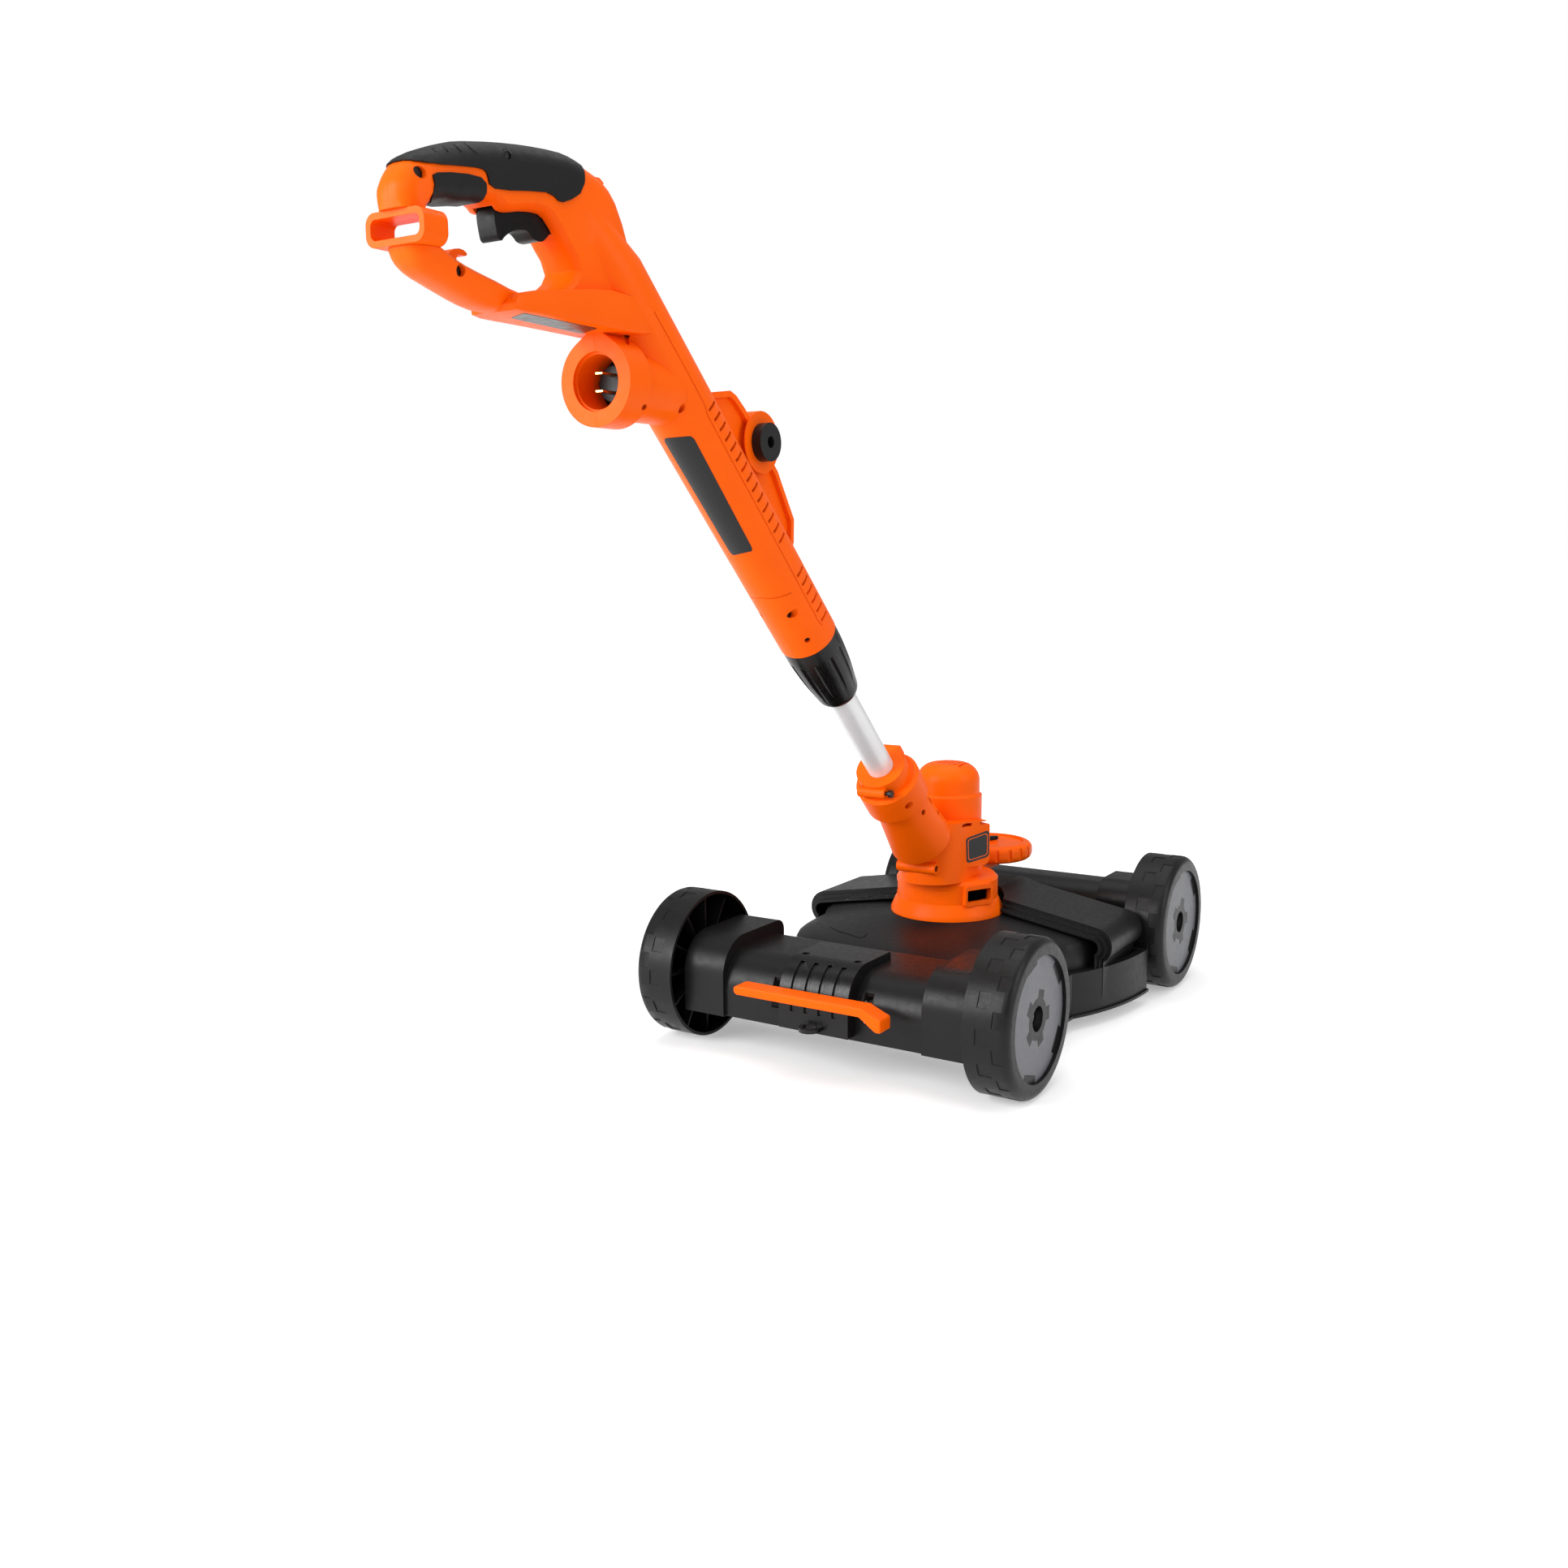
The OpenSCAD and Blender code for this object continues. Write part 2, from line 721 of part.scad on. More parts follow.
// Plan band of one side arm, from its outer face inward
module arm_plan(out, in) {
  intersection() {
    difference() {
      translate([arm_cx, arm_tip_y]) circle(arm_r + out, $fn = 180);
      translate([arm_cx, arm_tip_y]) circle(arm_r - in, $fn = 180);
    }
    translate([arm_root_x - arm_rim_w * 3, -arm_bend_y])
        square([arm_rim_w * 12, arm_tip_y + arm_bend_y]);
  }
  polygon([[arm_root_x - in, -beam_front - deck_wall], [arm_root_x + out, -beam_front - deck_wall],
    [arm_bend_x + out, -arm_bend_y + deck_wall], [arm_bend_x - in, -arm_bend_y + deck_wall]]);
  translate([block_out - deck_wall, arm_tip_y - in]) square([arm_tip_x - block_out + deck_wall, in]);
}
module arm() {
  translate([0, 0, arm_bottom]) linear_extrude(arm_top - arm_bottom) arm_plan(0, deck_wall);
  translate([0, 0, arm_top - arm_rim_t]) linear_extrude(arm_rim_t) arm_plan(0, arm_rim_w);
  translate([0, 0, arm_bottom]) linear_extrude(arm_lip_t) arm_plan(arm_lip_w, deck_wall);
}

// Whole deck moulding
module deck_shell() color(black) placed() {
  difference() {
    union() {
      difference() {
        union() {
          rear_solid(0);
          front_solid(0);
        }
        rear_solid(deck_wall);
        front_solid(deck_wall);
      }
      difference() {
        union() {
          arch_solid(0, arch_back + 2 * rim_pitch, arch_front);
          arch_solid(rim_step, arch_back + rim_pitch, arch_front);
          arch_solid(2 * rim_step, arch_back, arch_front);
        }
        arch_solid(2 * rim_step + deck_wall, arch_back - over, arch_front - deck_wall);
        arch_solid(deck_wall, arch_back + 3 * rim_pitch, arch_front - deck_wall);
      }
      arm();
      mirror([1, 0, 0]) arm();
      pin_walls();
      translate([left_inset - block_out, arch_front - deck_wall, floor_z - deck_wall])
        cube([2 * block_out - left_inset, fbeam_back - arch_front + 2 * deck_wall, deck_wall]);
      for (s = [-1, 1]) {
        translate([s * (block_out - inset_at(s, front_y) - deck_wall / 2) - deck_wall / 2,
            arch_front - deck_wall, arm_bottom])
          cube([deck_wall, fbeam_back - arch_front + 2 * deck_wall, floor_z - arm_bottom]);
        for (y = [rear_y, front_y]) {
          translate([inset_at(s, y), y, axle_z])
            rod_x(min(s * block_x, s * block_out), max(s * block_x, s * block_out), bore_boss_d);
        }
      }
      translate([-arm_tip_x, arch_front - deck_wall, arm_bottom])
          cube([arm_tip_x - block_out + left_inset, deck_wall, arm_top - arm_bottom]);
    }
    on_head() translate([0, 0, floor_z - deck_wall - over]) cylinder(r = base_cut_r, h = arch_z);
    translate([-base_cut_r, arch_back - over, floor_z - deck_wall - over])
      cube([2 * base_cut_r, head_y + over - arch_back > 0 ? head_y + over - arch_back : over, arch_z]);
    for (y = [rear_y, front_y]) {
      translate([0, y, axle_z]) rod_x(-block_out - over, block_out + over, axle_d + 2 * seat_gap);
    }
    translate([left_inset - block_out + deck_wall, arch_front - 2 * deck_wall, arch_bottom - over])
      cube([2 * (block_out - deck_wall) - left_inset, 3 * deck_wall,
          floor_z - deck_wall - arch_bottom + over]);
    translate([0, -pin_back, pin_z]) rod_x(-block_x, block_x, pin_d + 2 * seat_gap);
    pedal_slots();
  }
}

// Slots in the rear beam for the pedal arms, the latch lever and the pin
module pedal_slots() {
  for (s = [-1, 1]) {
    translate([s * pedal_arm_x - pedal_arm_w / 2 - free_gap, -beam_back - over, pin_z - pedal_arm_w])
      cube([pedal_arm_w + 2 * free_gap, deck_wall + 2 * over + pedal_gap,
          pedal_top - pin_z + pedal_arm_w]);
  }
  translate([-latch_w / 2 - free_gap, -beam_front - deck_wall - over, lug_z - free_gap])
    cube([latch_w + 2 * free_gap, deck_wall + 2 * over, latch_t * 5]);
}

// Walls inside the rear beam that carry the pedal pin
module pin_walls() {
  for (s = [-1, 1]) {
    translate([s * (pedal_arm_x + pedal_arm_w) - deck_wall / 2, -beam_back + deck_wall / 2,
        beam_bottom])
      cube([deck_wall, beam_back - pin_back + pin_d, pin_z + pin_d - beam_bottom]);
  }
}

// Saddle cover over the latch, with ribs and a ring loop below
module cover_outline(i) {
  round_top(-cover_back + i, -cover_front, cover_bottom, cover_top - i, cover_round - i, deck_wall);
}
module latch_cover() color(dark) placed() {
  difference() {
    union() {
      along_x(-cover_w / 2, cover_w / 2) cover_outline(0);
      translate([0, -cover_back - loop_d / 4, cover_bottom + loop_t]) cylinder(d = loop_d, h = loop_t);
      translate([-loop_d / 4, -cover_back - loop_d / 4, cover_bottom + loop_t])
          cube([loop_d / 2, loop_d / 2, loop_t]);
    }
    along_x(-cover_w / 2 - over, cover_w / 2 + over)
      round_top(-beam_back - seat_gap, -beam_front - over, beam_bottom - over, beam_top + seat_gap,
          beam_round, beam_round_front);
    translate([0, -cover_back - loop_d / 4, cover_bottom])
        cylinder(d = loop_d - 2 * loop_t, h = 3 * loop_t);
    for (k = [-1.5:1:1.5]) {
      along_x(k * cover_w / 5 - cover_rib / 2, k * cover_w / 5 + cover_rib / 2) intersection() {
        difference() {
          translate([-cover_back - over, cover_bottom]) square([cover_round, cover_top - cover_bottom]);
          cover_outline(cover_groove);
        }
        translate([-cover_back - over, cover_bottom + cover_round / 2])
            square([cover_round, cover_top - cover_bottom - cover_round / 2 - deck_wall]);
      }
    }
    cover_screw_places() translate([0, 0, -screw_d])
        cylinder(d = screw_head_d + 2 * seat_gap, h = screw_d + over);
    cover_screw_places() translate([0, 0, -cover_top + beam_top - over])
        cylinder(d = screw_d + 2 * seat_gap, h = screw_d * 4);
  }
}
module cover_screw_places() {
  for (s = [-1, 1]) {
    translate([s * cover_w * 0.38, -cover_back + cover_round, cover_top]) children();
  }
}
module latch_cover_screws() color(steel) placed() cover_screw_places() {
  translate([0, 0, -screw_d]) cylinder(d = screw_head_d, h = screw_d * 0.6);
  translate([0, 0, -cover_top + beam_top + seat_gap])
      cylinder(d = screw_d, h = cover_top - beam_top - screw_d);
}

// Foot pedal: a ribbed channel bar on two arms
pedal_y = -cover_back - pedal_gap - pedal_deep;
pedal_bend = pedal_drop * 0.42;
module pedal() color(orange) placed() {
  difference() {
    union() {
      along_y(pedal_y, pedal_y + pedal_deep) polygon([
        [-pedal_left + pedal_skin, pedal_top - pedal_skin], [-pedal_left, pedal_top - pedal_skin / 2],
        [-pedal_left + pedal_skin, pedal_top], [pedal_right - pedal_drop, pedal_top],
            [pedal_right, pedal_top - pedal_bend],
        [pedal_right, pedal_top - pedal_bend - pedal_skin],
            [pedal_right - pedal_drop, pedal_top - pedal_skin]]);
      along_y(pedal_y, pedal_y + pedal_skin) pedal_edge();
      along_y(pedal_y + pedal_deep - pedal_skin, pedal_y + pedal_deep) pedal_edge();
      translate([pedal_right - pedal_skin, pedal_y, pedal_top - pedal_drop])
        cube([pedal_skin, pedal_deep, pedal_drop - pedal_bend - pedal_skin / 2]);
      for (x = [-pedal_left + pedal_skin * 2:pedal_skin * 6:pedal_right - pedal_drop]) {
        translate([x, pedal_y + pedal_skin / 2, pedal_top - pedal_t])
            cube([pedal_skin * 0.7, pedal_deep - pedal_skin, pedal_t - pedal_skin / 2]);
      }
      for (k = [1, 2]) {
        translate([pedal_right - k * pedal_skin * 2.4, pedal_y + pedal_skin / 2,
            pedal_top - pedal_drop + k * pedal_skin])
          cube([pedal_skin * 0.6, pedal_deep - pedal_skin, pedal_drop - pedal_bend - k * pedal_skin]);
      }
      for (s = [-1, 1]) {
        along_x(s * pedal_arm_x - pedal_arm_w / 2, s * pedal_arm_x + pedal_arm_w / 2) {
          polygon([[pedal_y + pedal_deep / 2, pedal_top - pedal_skin / 2],
              [pedal_y + pedal_deep / 2, pedal_top - pedal_t],
            [-pin_back, pin_z - pin_d], [-pin_back, pin_z + pin_d],
                [pedal_y + pedal_deep, pedal_top - pedal_skin / 2]]);
          translate([-pin_back, pin_z]) circle(pin_d);
        }
      }
    }
    translate([0, -pin_back, pin_z]) rod_x(-track_w / 2, track_w / 2, pin_d + 2 * run_gap);
  }
}
module pedal_edge() {
  polygon([[-pedal_left, pedal_top - pedal_skin / 2], [-pedal_left, pedal_top - pedal_t + pedal_skin],
    [-pedal_left + pedal_skin, pedal_top - pedal_t],
        [pedal_right - pedal_drop * 1.1, pedal_top - pedal_t],
    [pedal_right - pedal_skin * 2, pedal_top - pedal_drop], [pedal_right, pedal_top - pedal_drop],
    [pedal_right, pedal_top - pedal_bend], [pedal_right - pedal_drop, pedal_top],
        [-pedal_left + pedal_skin, pedal_top]]);
}
module pedal_pin() color(steel) placed() translate([0, -pin_back, pin_z])
  rod_x(-pedal_arm_x - pedal_arm_w - deck_wall / 2, pedal_arm_x + pedal_arm_w + deck_wall / 2, pin_d);

// Spring on the pin, between an arm and the latch lever
module pedal_spring() color(steel) placed() translate([0, -pin_back, pin_z]) {
  for (s = [-1, 1]) {
    difference() {
      rod_x(s * (latch_w / 2 + pedal_arm_x) / 2 - latch_t,
          s * (latch_w / 2 + pedal_arm_x) / 2 + latch_t, pin_d * 2.2);
      rod_x(-track_w / 2, track_w / 2, pin_d + 2 * free_gap);
    }
  }
}

// Lever that the pedal lifts off the guard's catch
lug_z = guard_edge_z - latch_t;
lug_y = head_y - guard_back;
module latch_lever() color(dark) placed() {
  difference() {
    along_x(-latch_w / 2, latch_w / 2) {
      translate([-pin_back, pin_z]) circle(pin_d);
      polygon([[-pin_back - pin_d * 0.7, pin_z - pin_d * 0.7],
          [-pin_back + pin_d, lug_z + seat_gap + latch_t * 0.2],
        [lug_y - latch_t * 0.35, lug_z + seat_gap], [lug_y - latch_t * 0.35, lug_z + latch_t],
        [-pin_back + pin_d * 2.4, lug_z + latch_t * 1.6],
            [-pin_back + pin_d * 0.7, pin_z + pin_d * 0.7]]);
    }
    translate([0, -pin_back, pin_z]) rod_x(-track_w / 2, track_w / 2, pin_d + 2 * run_gap);
  }
}

// Motor housing: crown, body, base, elbow and tube clamp as one closed form
module housing_section() {
  base_r = base_d / 2;
  wall_r = base_wall_d / 2;
  crown_r = crown_d / 2;
  lip = base_flare_h / 5;
  polygon([[0, base_z], [base_r, base_z], [base_r, base_z + lip],
      [wall_r + lip / 2, base_z + base_flare_h * 0.85],
    [wall_r, base_z + base_flare_h], [wall_r, base_top - 1.4 * lip], [wall_r - lip, base_top - lip / 3],
    [wall_r - 3 * lip, base_top], [0, base_top]]);
  translate([0, base_top - over]) square([motor_r, crown_z - base_top + over]);
  polygon([[0, crown_z - over], [motor_r, crown_z - over], [motor_r, crown_z],
      [crown_r, crown_z + motor_r - crown_r], [0, crown_z + motor_r - crown_r]]);
  translate([0, crown_z]) square([crown_r, dome_top - crown_round - crown_z]);
  translate([0, crown_z]) square([crown_r - crown_round, dome_top - crown_z]);
  translate([crown_r - crown_round, dome_top - crown_round]) circle(crown_round);
}
module housing_form() {
  on_head() rotate_extrude() intersection() {
    housing_section();
    square([base_d, dome_top + over]);
  }
  on_head() translate([0, 0, base_top - over]) linear_extrude(body_top - base_top + over) {
    translate([-motor_r * 0.97, -body_back]) square([motor_d * 0.97, body_back]);
    translate([0, -body_back]) circle(motor_r * 0.97);
  }
  on_pole() {
    translate([0, 0, elbow_low]) cylinder(d1 = elbow_d * 1.1, d2 = elbow_d * 0.86, h = elbow_h + over);
    translate([0, 0, band_low - head_wall]) cylinder(d1 = elbow_d * 0.8, d2 = band_d,
        h = 2 * head_wall);
    translate([0, 0, band_low + head_wall]) cylinder(d = band_d, h = band_h - 2 * head_wall);
    translate([0, 0, ring_low - head_wall]) cylinder(d1 = band_d, d2 = band_d - 2 * head_wall,
        h = head_wall);
    translate([0, 0, ring_low - over]) cylinder(d = ring_d, h = ring_h + over);
    translate([0, -ring_d / 2, ring_low + ring_h / 2]) rod_x(-ring_d / 3, ring_d / 4, ear_d);
    translate([-ring_d / 5, 0, ring_low + ring_h / 8])
        cube([ring_d * 0.4, ring_d * 0.58, ring_h * 0.75]);
  }
  translate([0, boss_y, boss_z]) rod_x(-motor_r * 0.62, motor_r * 0.6, ear_d * 1.2);
  on_head() translate([0, 0, badge_z]) rotate([0, 0, -badge_turn]) rotate([90, 0, 90])
      linear_extrude(motor_r + badge_proud)
    round_rect(badge_w, badge_h, badge_proud);
  on_head() translate([0, 0, window_z]) rotate([0, 0, -badge_turn]) rotate([90, 0, 90])
      linear_extrude(base_wall_d / 2 + head_wall * 0.7)
    round_rect(window_w + 2 * head_wall, window_h + 3 * head_wall, head_wall);
}
ear_d = ring_h * 0.62;
boss_y = head_y - body_back - motor_r + ear_d * 0.3;
boss_z = base_top + ear_d * 1.7;
window_z = base_z + base_flare_h + window_h * 0.75;
can_top = can_z + can_h;

// Rooms inside the housing
module housing_rooms() {
  on_head() {
    translate([0, 0, base_z - over]) cylinder(d = base_wall_d - 2 * head_wall,
        h = base_top - 2 * head_wall - base_z + over);
    translate([0, 0, base_z]) cylinder(d = bearing_d + head_wall, h = can_z - base_z + over);
    translate([0, 0, can_z]) cylinder(d = can_d + 2 * seat_gap, h = can_h + seat_gap);
    translate([0, 0, can_z]) cylinder(d = can_d * 0.7, h = can_h + crown_round);
    translate([0, 0, window_z]) rotate([0, 0, -badge_turn]) rotate([90, 0, 90]) linear_extrude(base_d)
      round_rect(window_w, window_h, head_wall / 2);
    for (a = [-badge_turn - 45, 180 + badge_turn + 45, 180 + badge_turn, 90 - 2 * badge_turn,
        90 + 2 * badge_turn]) {
      rotate(a) translate([base_wall_d / 2 - head_wall / 3, -window_w / 2, window_z - window_h / 2])
        cube([head_wall, window_w, window_h]);
    }
    for (a = [-badge_turn - 14, -badge_turn + 24, 180 + badge_turn]) {
      rotate(a) translate([can_d / 4, -window_w * 0.3, slot_z]) cube([motor_r, window_w * 0.6, slot_h]);
    }
    for (k = [-2:2]) {
      translate([k * slot_h * 1.9 - slot_h / 2 + crown_d * 0.1, -crown_d * 0.2, dome_top - slot_h])
          cube([slot_h * 0.7, crown_d * 0.4, slot_h + over]);
    }
  }
  on_pole() translate([0, 0, -tube_low]) cylinder(d = tube_d + 2 * seat_gap, h = tube_up);
  housing_screw_places() rod_x(-motor_r * 0.4, track_w, screw_d + 2 * seat_gap);
  housing_screw_places() rod_x(motor_r * 0.45, track_w, screw_head_d + 2 * seat_gap);
}
module housing_screw_places() {
  translate([0, boss_y, boss_z]) children();
  on_pole() translate([0, -ring_d / 2, ring_low + ring_h / 2]) children();
  on_pole() translate([0, elbow_d * 0.27, band_low - elbow_h * 0.32]) children();
  on_pole() translate([0, -elbow_d * 0.32, band_low + band_h * 0.5]) children();
}
module motor_housing_screws() color(dark) placed() housing_screw_places() {
  rod_x(-motor_r * 0.4 + over, motor_r * 0.5, screw_d);
  rod_x(motor_r * 0.45 + seat_gap, motor_r * 0.55, screw_head_d);
}
module motor_housing_right() color(orange) placed() {
  difference() {
    housing_form();
    housing_rooms();
    translate([-track_w, -track_w, 0]) cube([track_w, 2 * track_w, 2 * dome_top]);
  }
}
module motor_housing_left() color(orange) placed() {
  difference() {
    housing_form();
    housing_rooms();
    translate([0, -track_w, 0]) cube([track_w, 2 * track_w, 2 * dome_top]);
  }
}

// Motor can, its two bearings and the armature
module motor_can() color(steel) placed() on_head() {
  difference() {
    translate([0, 0, can_z]) cylinder(d = can_d, h = can_h);
    translate([0, 0, can_z + bearing_t + head_wall])
        cylinder(d = can_d - 2 * can_wall, h = can_h - 2 * bearing_t - 2 * head_wall);
    translate([0, 0, can_z - over]) cylinder(d = bearing_d + 2 * seat_gap, h = bearing_t + over);
    translate([0, 0, can_top - bearing_t]) cylinder(d = bearing_d + 2 * seat_gap, h = bearing_t + over);
    translate([0, 0, can_z]) cylinder(d = shaft_d * 1.7, h = can_h);
  }
}
module bearing_ring() {
  difference() {
    cylinder(d = bearing_d, h = bearing_t - seat_gap);
    translate([0, 0, -over]) cylinder(d = shaft_d + 2 * run_gap, h = bearing_t + 2 * over);
  }
}
module upper_bearing() color(steel) placed() on_head()
    translate([0, 0, can_top - bearing_t + seat_gap]) bearing_ring();
module lower_bearing() color(steel) placed() on_head() translate([0, 0, can_z]) bearing_ring();
module armature() color(copper) placed() on_head() {
  translate([0, 0, spool_case_z + spool_wall + seat_gap])
      cylinder(d = shaft_d, h = can_top + bearing_t / 2 - spool_case_z - spool_wall);
  difference() {
    translate([0, 0, can_z + bearing_t + 2 * head_wall])
        cylinder(d = rotor_d, h = can_h - 2 * bearing_t - 4 * head_wall);
    for (i = [0:11]) {
      rotate(i * 30) translate([rotor_d / 2, 0, can_z]) cylinder(d = rotor_d / 12, h = can_h);
    }
  }
}

// Cooling fan on the shaft
fan_blades = 11;
module fan() color(dark) placed() on_head() translate([0, 0, fan_z]) {
  difference() {
    union() {
      cylinder(d = fan_d, h = head_wall * 0.7);
      cylinder(d = shaft_d * 2, h = fan_h);
      for (i = [0:fan_blades - 1]) {
        rotate(i * 360 / fan_blades) translate([shaft_d * 2, -head_wall / 4, 0]) rotate(25)
            cube([fan_d * 0.3, head_wall / 2, fan_h]);
      }
    }
    translate([0, 0, -over]) cylinder(d = shaft_d + 2 * seat_gap, h = fan_h + 2 * over);
  }
}

// Guard: a half dome that flares out of the base
guard_side_shares = [[1, 0.3], [0.945, 0], [0.872, -0.15], [0.86, -0.35], [0.82, -0.6], [0.70, -0.83],
    [0.47, -0.965], [0, -1]];
guard_reach_shares = [1, 1, 0.985, 0.95, 0.88, 0.75, 0.55, 0.35, 0.2, 0.1, 0.03, 0];
guard_rise_shares = [0, 0.13, 0.28, 0.43, 0.55, 0.65, 0.71, 0.77, 0.82, 0.88, 0.95, 1];
guard_flank_shares = [0, 0.22, 0.45, 0.62, 0.69, 0.745, 0.82, 0.89, 0.935, 0.965, 0.99, 1];
guard_side = smooth_line([for (q = guard_side_shares) [q[0] * guard_half, q[1] * guard_back]], 2);
guard_loop = concat(guard_side, [for (i = [len(guard_side) - 2:-1:0]) [-guard_side[i][0],
    guard_side[i][1]]]);
guard_base_r = base_d / 2;
function guard_point(p, k, t) = let (
  d = norm(p),
  r = guard_base_r + guard_reach_shares[k] * (d - guard_base_r)
      - t * (guard_reach_shares[k] > 0.9 ? 1 : 0.25),
  rise = guard_rise_shares[k] + (guard_flank_shares[k] - guard_rise_shares[k]) * abs(p[0]) / d,
  z = guard_edge_z + rise * (base_z - guard_edge_z) - t * (guard_reach_shares[k] > 0.97 ? 0 : 1))
  [p[0] / d * r, p[1] / d * r, z];
module guard() color(black) placed() {
  on_head() {
    grid_shell([for (p = guard_loop) [for (k = [0:len(guard_reach_shares) - 1]) guard_point(p, k, 0)]],
      [for (p = guard_loop) [for (k = [0:len(guard_reach_shares) - 1]) guard_point(p, k, guard_t)]]);
    difference() {
      translate([0, 0, base_z - guard_t - seat_gap])
          cylinder(r = guard_base_r - guard_t * 0.13, h = guard_t);
      translate([0, 0, base_z - 2 * guard_t]) cylinder(r = guard_base_r - guard_flange,
          h = 3 * guard_t);
    }
  }
  translate([-latch_w / 2, lug_y - latch_t * 0.7, lug_z - latch_t])
      cube([latch_w, latch_t * 1.2, latch_t]);
  translate([-latch_w / 2, lug_y + latch_t * 0.16, lug_z - latch_t])
      cube([latch_w, latch_t * 0.3, latch_t * 2.4]);
}

// Blade under the guard's edge that trims the line
cutter_spot = guard_side[4];
line_reach = norm(cutter_spot) - guard_t * 1.25 - cutter_len - line_d;
module line_cutter() color(steel) placed() on_head() rotate(atan2(cutter_spot[1], cutter_spot[0]))
  translate([line_reach + line_d, -line_d, spool_case_z + eyelet_z - line_d * 2])
  cube([cutter_len, line_d, line_d * 4]);

// Edge guide wheel on a bracket ahead of the motor
module edge_bracket() color(orange) placed() {
  bz = edge_wheel_z - free_gap - bracket_t;
  difference() {
    union() {
      translate([-bracket_w / 2, head_y, bz]) cube([bracket_w, edge_wheel_y - head_y, bracket_t]);
      translate([0, edge_wheel_y, bz]) cylinder(d = bracket_w, h = bracket_t);
      translate([0, edge_wheel_y, bz]) cylinder(d = edge_pin_d,
          h = bracket_t + free_gap + edge_wheel_t + free_gap);
    }
    on_head() translate([0, 0, bz - over]) cylinder(d = base_wall_d + 2 * seat_gap,
        h = bracket_t + 2 * over);
  }
}
edge_grips = 20;
module edge_wheel() color(orange) placed() translate([0, edge_wheel_y, edge_wheel_z]) {
  r = edge_wheel_d / 2;
  e = edge_wheel_t * 0.4;
  difference() {
    rotate_extrude() {
      translate([edge_pin_d / 2 + run_gap, 0]) square([r - e - edge_pin_d / 2, edge_wheel_t]);
      translate([0, e]) translate([r - e, 0]) square([e, edge_wheel_t - 2 * e]);
      translate([r - e, e]) circle(e);
      translate([r - e, edge_wheel_t - e]) circle(e);
    }
    translate([0, 0, edge_wheel_t - e / 4]) difference() {
      cylinder(r = r - e * 1.3, h = e);
      translate([0, 0, -over]) cylinder(d = edge_pin_d * 2, h = edge_wheel_t);
    }
    translate([0, 0, -over]) difference() {
      cylinder(r = r - e * 1.5, h = edge_wheel_t / 2 + over);
      cylinder(d = edge_pin_d * 2, h = edge_wheel_t);
    }
    for (i = [0:edge_grips - 1]) {
      rotate(i * 360 / edge_grips) translate([r - e / 6, -e / 4, -over]) rotate([0, 0, 8])
          cube([e, e / 2, edge_wheel_t + 2 * over]);
    }
  }
}
module edge_clip() color(black) placed() translate([0, edge_wheel_y,
    edge_wheel_z + edge_wheel_t + free_gap + seat_gap]) {
  cylinder(d = edge_pin_d * 1.5, h = edge_pin_d * 0.25);
  rotate(40) translate([-edge_pin_d * 1.1, -edge_pin_d * 0.3, 0])
      cube([edge_pin_d * 2.2, edge_pin_d * 0.6, edge_pin_d * 0.35]);
}

// Spool housing, spool, line and cap under the motor
case_r = spool_case_d / 2;
module spool_housing() color(black) placed() on_head() translate([0, 0, spool_case_z]) {
  difference() {
    union() {
      cylinder(r = case_r, h = spool_case_h * 0.72);
      translate([0, 0, spool_case_h * 0.72]) cylinder(r1 = case_r, r2 = case_r * 0.55,
          h = spool_case_h * 0.28);
    }
    translate([0, 0, -over]) cylinder(r = case_r - spool_wall,
        h = spool_case_h * 0.72 - spool_wall + over);
    cylinder(d = shaft_d + 2 * seat_gap, h = spool_case_h + over);
    translate([0, 0, eyelet_z]) rod_x(0, spool_case_d, eyelet_d);
    for (i = [0:7]) {
      rotate(i * 45 + 22.5) translate([case_r, 0, spool_case_h * 0.3])
          cylinder(r = spool_wall, h = spool_case_h);
    }
  }
}
eyelet_d = line_d * 4;
eyelet_z = spool_case_h * 0.3;
module line_eyelet() color(steel) placed() on_head() translate([0, 0, spool_case_z + eyelet_z]) {
  difference() {
    rod_x(case_r - spool_wall * 1.1, case_r + spool_wall * 0.6, eyelet_d - 2 * seat_gap);
    rod_x(0, spool_case_d, line_d + 2 * seat_gap);
  }
}
module spool() color(dark) placed() on_head() translate([0, 0, spool_case_z + spool_wall]) {
  difference() {
    union() {
      cylinder(d = spool_d, h = spool_wall);
      cylinder(d = spool_d * 0.5, h = spool_h);
      translate([0, 0, spool_h - spool_wall]) cylinder(d = spool_d, h = spool_wall);
    }
    translate([0, 0, -over]) cylinder(d = shaft_d + 2 * seat_gap, h = spool_h + 2 * over);
    translate([0, 0, spool_h - spool_wall * 3]) cylinder(d = spool_d * 0.36, h = spool_h);
  }
}
module line_winding() color(orange) placed() on_head()
    translate([0, 0, spool_case_z + 2 * spool_wall + seat_gap]) {
  difference() {
    cylinder(d = spool_d * 0.86, h = spool_h - 2 * spool_wall - 2 * seat_gap);
    translate([0, 0, -over]) cylinder(d = spool_d * 0.5 + 2 * seat_gap, h = spool_h + 2 * over);
  }
}
module spool_spring() color(steel) placed() on_head()
    translate([0, 0, spool_case_z + spool_wall + spool_h - spool_wall * 3 + seat_gap]) {
  difference() {
    cylinder(d = spool_d * 0.34,
        h = spool_case_h * 0.72 - 2 * spool_wall - spool_h + spool_wall * 3 - 2 * seat_gap);
    translate([0, 0, -over]) cylinder(d = shaft_d * 1.5, h = spool_case_h);
  }
}
